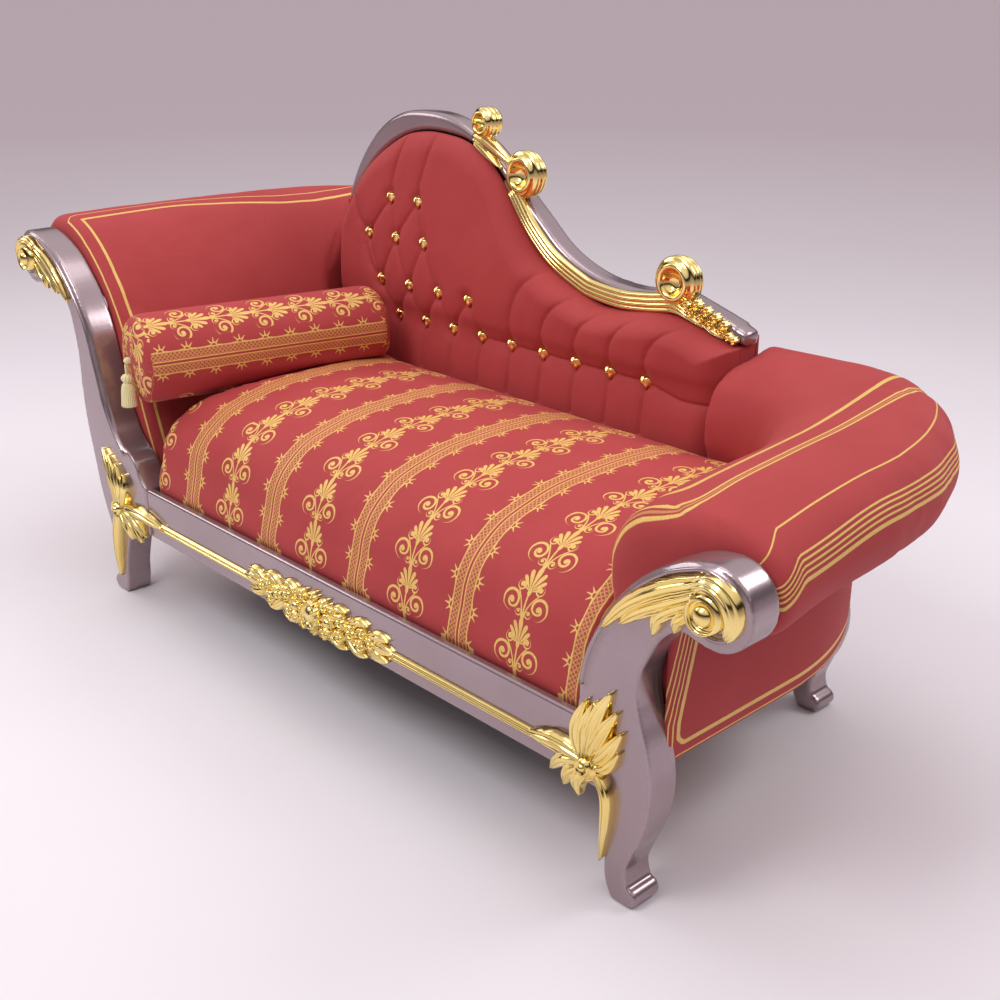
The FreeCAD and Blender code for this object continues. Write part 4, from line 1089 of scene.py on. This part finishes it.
for name, face, sign, leaves, height, lift, ring, eye in SCROLLS:
    bm = bmesh.new()
    for midrib, width, lobes in leaves:
        leaf(bm, [(face + sign * n, z) for n, z in midrib], width, height, FACE, lobes, lift)
    shell(bm, face + sign * ring[0], ring[1], sign, 140.0, -190.0, *ring[2:], FACE, 5)
    boss(bm, face + sign * eye[0], *eye[1:], FACE, 0, 1.0, 0.74)
    carved(bm, name + "_leaves", name + "_leaf")

# %% Leaves on the two knees
FOOT_KNEE = [([(-112, 208), (-122, 252), (-108, 304)], 26, 2),
             ([(-108, 210), (-106, 258), (-92, 306)], 26, 2),
             ([(-104, 212), (-90, 272), (-64, 332)], 31, 2),
             ([(-100, 212), (-76, 262), (-52, 306)], 29, 2),
             ([(-96, 208), (-66, 238), (-42, 278)], 28, 2),
             ([(-94, 204), (-66, 216), (-46, 246)], 24, 2),
             ([(-108, 206), (-164, 212), (-222, 203)], 32, 4),
             ([(-110, 204), (-146, 194), (-174, 164)], 28, 3),
             ([(-108, 200), (-134, 178), (-146, 150)], 28, 3),
             ([(-104, 198), (-118, 170), (-116, 146)], 26, 2),
             ([(-92, 204), (-66, 172), (-64, 122), (-74, 58)], 19, 1)]
HEAD_KNEE = [([(-112, 204), (-96, 262), (-64, 318)], 30, 3),
             ([(-116, 204), (-108, 256), (-84, 308)], 27, 3),
             ([(-120, 204), (-122, 248), (-110, 296)], 25, 2),
             ([(-124, 206), (-140, 242), (-138, 280)], 24, 2),
             ([(-116, 204), (-196, 209), (-276, 203)], 28, 5),
             ([(-122, 202), (-172, 194), (-212, 164)], 30, 3),
             ([(-120, 198), (-162, 178), (-190, 146)], 30, 3),
             ([(-116, 196), (-142, 168), (-154, 142)], 28, 2),
             ([(-108, 200), (-94, 150), (-88, 94), (-83, 38)], 25, 1)]
for name, leaves, sign, face, hub in (("foot_knee_leaf", FOOT_KNEE, 1.0, FOOT_X, (-102, 203)),
                                      ("head_knee_leaf", HEAD_KNEE, -1.0, HEAD_X, (-114, 200))):
    bm = bmesh.new()
    for midrib, width, lobes in leaves:
        leaf(bm, [(face + sign * n, z) for n, z in midrib], width, 17.0, FACE, lobes, 3.0)
    shell(bm, face + sign * hub[0], hub[1], sign, 60.0, -170.0, 8.0, 26.0, 20.0, FACE, 4)
    boss(bm, face + sign * hub[0], hub[1], 13.0, 22.0, FACE, 0, 1.0, 0.7)
    carved(bm, name.replace("leaf", "leaves"), name)

# %% [markdown]
# ## Rail garland and bead strips
# The middle of the front rail carries a garland: an oval stone in a beaded ring, smaller stones beside
# it, and flowers and leaves that thin out to both sides, where a double bead strip takes over.

# %% Garland
GARLAND = (50.0, 200.0)
RAIL_FACE = -364.2
FLOWERS = [(76, 14, 17, 15), (72, -16, 15, 14), (104, 4, 18, 15), (128, -12, 15, 13),
           (134, 12, 13, 12), (156, 2, 14, 12), (30, 26, 14, 13), (30, -26, 13, 13),
           (54, 24, 11, 11), (52, -26, 11, 11), (0, 32, 12, 12), (0, -30, 11, 12)]
SPRAYS = [((214, 4), 24), ((202, 22), 22), ((200, -16), 22), ((150, 30), 20), ((146, -28), 20),
          ((92, 34), 18), ((92, -34), 18)]
bm = bmesh.new()
for side in (-1.0, 1.0):
    for dx, dz, radius, height in FLOWERS:
        if dx or side > 0:
            boss(bm, GARLAND[0] + side * dx, GARLAND[1] + dz, radius, height, RAIL_FACE, 5, 1.0, 0.36)
    for tip, width in SPRAYS:
        root = (tip[0] - 56.0, tip[1] * 0.3)
        bend = ((root[0] + tip[0]) / 2.0, tip[1] * 0.95)
        midrib = [(GARLAND[0] + side * n, GARLAND[1] + dz) for n, dz in (root, bend, tip)]
        leaf(bm, midrib, width, 10.0, RAIL_FACE, 3, 3.0)
    boss(bm, GARLAND[0] + side * 46.0, GARLAND[1], 17.0, 17.0, RAIL_FACE, 9, 1.15, 0.6)
boss(bm, GARLAND[0], GARLAND[1] + 1.0, 25.0, 21.0, RAIL_FACE, 12, 1.2, 0.64)
carved(bm, "garland", "rail_garland")

# %% Bead strips
STRIP_HALF = 7.5
bm = bmesh.new()
for x0, x1 in ((HEAD_X + 262.0, GARLAND[0] - 206.0), (GARLAND[0] + 206.0, FOOT_X - 190.0)):
    verts = grid(bm, 90, 16)
    for vert in verts:
        c = vert.co.y
        up = 2.0 + 4.5 * abs(math.sin(math.pi * c)) ** 0.7 * (1.0 if abs(c) < 0.999 else 0.0)
        along = x0 + (vert.co.x * 0.5 + 0.5) * (x1 - x0)
        vert.co = drawn(along, RAIL_FACE - up, GARLAND[1] + STRIP_HALF * c)
    relief(bm, verts, RAIL_FACE)
carved(bm, "bead_strips", "rail_beads")

# %% [markdown]
# ## Crest volutes and reeded band
# Three turned drums stand on the crest like the ends of a rolled scroll: a rounded front ring about a
# hollow eye, and ribs round the rim. They are spun from a profile, as on a lathe. The gilded band
# between them is a bundle of reeds that follows the crest's lower edge.

# %% Spun volutes
VOLUTES = [(-222, 944, 31), (-112, 856, 46), (276, 711, 47)]
VOLUTE_FACE = 264.0
PROFILE = [(0.0, 19.0), (0.16, 18.5), (0.3, 16.0), (0.42, 10.0), (0.5, 3.5), (0.56, 0.8), (0.63, 0.0),
           (0.71, 1.6), (0.77, 6.5), (0.84, 9.5), (0.95, 12.0), (0.985, 17.0), (0.92, 20.5),
           (0.98, 25.0), (0.97, 29.0), (0.9, 32.0), (0.93, 37.0), (0.84, 42.0), (0.6, 44.0),
           (0.0, 44.0)]
outline = curve_through(PROFILE, 64)
bm = bmesh.new()
for vx, vz, radius in VOLUTES:
    wire = [bm.verts.new(drawn(vx + max(0.0, r) * radius, VOLUTE_FACE + d, vz)) for r, d in outline]
    edges = [bm.edges.new(pair) for pair in zip(wire[:-1], wire[1:])]
    bmesh.ops.spin(bm, geom=wire + edges, cent=drawn(vx, VOLUTE_FACE, vz), axis=(0.0, 1.0, 0.0),
                   angle=2.0 * math.pi, steps=48, use_merge=True)
bmesh.ops.remove_doubles(bm, verts=bm.verts, dist=MERGE)
carved(bm, "volutes", "crest_volutes")

# %% Reeded band
BAND = [(-152, 814), (-100, 747), (-36, 692), (40, 656), (81, 645), (149, 639), (215, 644),
        (275, 652), (312, 646)]
CREST_FACE = 281.8
STEPS = 60
bm = bmesh.new()
run = curve_through(BAND, STEPS + 1)
way = np.gradient(run, axis=0)
way /= np.linalg.norm(way, axis=1)[:, None]
verts = grid(bm, STEPS, 40)
for vert in verts:
    i = int(round((vert.co.x * 0.5 + 0.5) * STEPS))
    c = vert.co.y * 0.5 + 0.5
    wide = (31.0 + 7.0 * (i / STEPS)) * min(1.0, 0.5 + 0.1 * (STEPS - i))
    up = 3.0 + 5.0 * math.sin(math.pi * c) ** 0.5 + 2.6 * abs(math.sin(4.0 * math.pi * c)) ** 0.8
    spot = run[i] + np.array((-way[i][1], way[i][0])) * (c * wide + 1.5)
    vert.co = drawn(spot[0], CREST_FACE - up, spot[1])
relief(bm, verts, CREST_FACE)
carved(bm, "reeded_band", "crest_band")

# %% Leaves on the crest
TOP_LEAVES = [([(-250, 918), (-206, 904), (-140, 872)], 30, 4),
              ([(-246, 906), (-212, 888), (-172, 862)], 20, 3)]
TAIL_LEAVES = [([(298, 662), (328, 652), (352, 641)], 18, 3),
               ([(344, 650), (372, 639), (396, 631)], 17, 3),
               ([(382, 642), (402, 636), (420, 631)], 15, 2)]
TAIL_BUDS = [(330, 680, 11), (352, 672, 10), (372, 664, 10), (391, 655, 9), (306, 676, 9),
             (318, 664, 9), (340, 658, 9), (362, 651, 9), (384, 644, 8), (402, 637, 8), (414, 632, 7)]
for name, leaves in (("crest_top_leaf", TOP_LEAVES), ("crest_tail_leaf", TAIL_LEAVES)):
    bm = bmesh.new()
    for midrib, width, lobes in leaves:
        leaf(bm, midrib, width, 11.0, CREST_FACE, lobes, 3.0)
    if name == "crest_tail_leaf":
        for bx, bz, radius in TAIL_BUDS:
            boss(bm, bx, bz, radius, 15.0, CREST_FACE, 4, 1.0, 0.5)
    carved(bm, name.replace("leaf", "leaves"), name)

# %% [markdown]
# ## Tassel
# A cream tassel hangs from a knot at the bolster's end on a short cord. The head is a lobed ball bound
# at the neck, and the skirt is a fall of twisted threads, so its surface is fluted all round.

# %% Tassel pieces
thread = Finish("cream_thread")
fibre = thread.noise(260.0, 3.0, (1.0, 1.0, 0.15))
thread.put(Base_Color=thread.blend(fibre, tone(250, 243, 196), tone(224, 206, 140)),
           Roughness=fibre * 0.2 + 0.55, Sheen_Weight=0.4, Normal=thread.bump(fibre, 0.0007, 0.7))
HANG = Vector((-560.0, -355.7, 518.0))
BULB = [(2.5, 26.2), (7.0, 28.0), (10.4, 32.5), (10.6, 37.0), (7.6, 42.0), (6.6, 44.0)]
FRINGE = [(6.6, 44.2), (9.8, 48.0), (12.2, 58.0), (13.6, 74.0), (14.4, 90.0), (9.0, 90.6)]
TWIST = [(1.6, 6.9), (2.1, 9.0), (2.1, 20.0), (2.1, 26.4)]


def turned_thread(name, profile, twist, flutes, depth, node):
    """Thread form turned about the tassel's axis, with slanting flutes."""
    bm = bmesh.new()
    outline = curve_through(profile, 40)
    verts = grid(bm, 96, 39)
    for vert in verts:
        angle = vert.co.x * math.pi
        row = int(round((vert.co.y * 0.5 + 0.5) * 39.0))
        r, drop = outline[row]
        r = max(0.05, r) * (1.0 + depth * math.cos(flutes * angle + twist * drop))
        vert.co = drawn(*(HANG + Vector((r * math.cos(angle), r * math.sin(angle), -drop))))
    bmesh.ops.remove_doubles(bm, verts=bm.verts, dist=1e-6)
    bmesh.ops.holes_fill(bm, edges=[e for e in bm.edges if e.is_boundary], sides=0)
    bmesh.ops.recalc_face_normals(bm, faces=bm.faces)
    dress(name, finished(bm, name), thread, "tassel_thread", node)


turned_thread("tassel_bulb", BULB, 0.25, 10, 0.06, "tassel_head")
turned_thread("tassel_fringe", FRINGE, 0.03, 24, 0.07, "tassel_skirt")
turned_thread("tassel_twist", TWIST, 1.1, 3, 0.14, "tassel_cord")

# %% Knot on the bolster's end
KNOT_R = 6.4
KNOT_LONG = 8.6
KNOT_OUT = 8.5
bm = bmesh.new()
made = bmesh.ops.create_icosphere(bm, subdivisions=3, radius=1.0)["verts"]
turn = Matrix.Rotation(-BOLSTER_TURN, 3, "Z")
for vert in made:
    d = vert.co.copy()
    wound = 1.0 + 0.1 * math.cos(4.0 * math.atan2(d.z, d.x) + 5.0 * d.y)
    local = turn @ Vector((d.x * KNOT_R * wound, d.y * KNOT_LONG, d.z * KNOT_R * wound))
    vert.co = drawn(*(Vector(BOLSTER_END - BOLSTER_AXIS * KNOT_OUT) + local))
dress("cord_knot", finished(bm, "cord_knot"), thread, "tassel_thread", "bolster_knot")
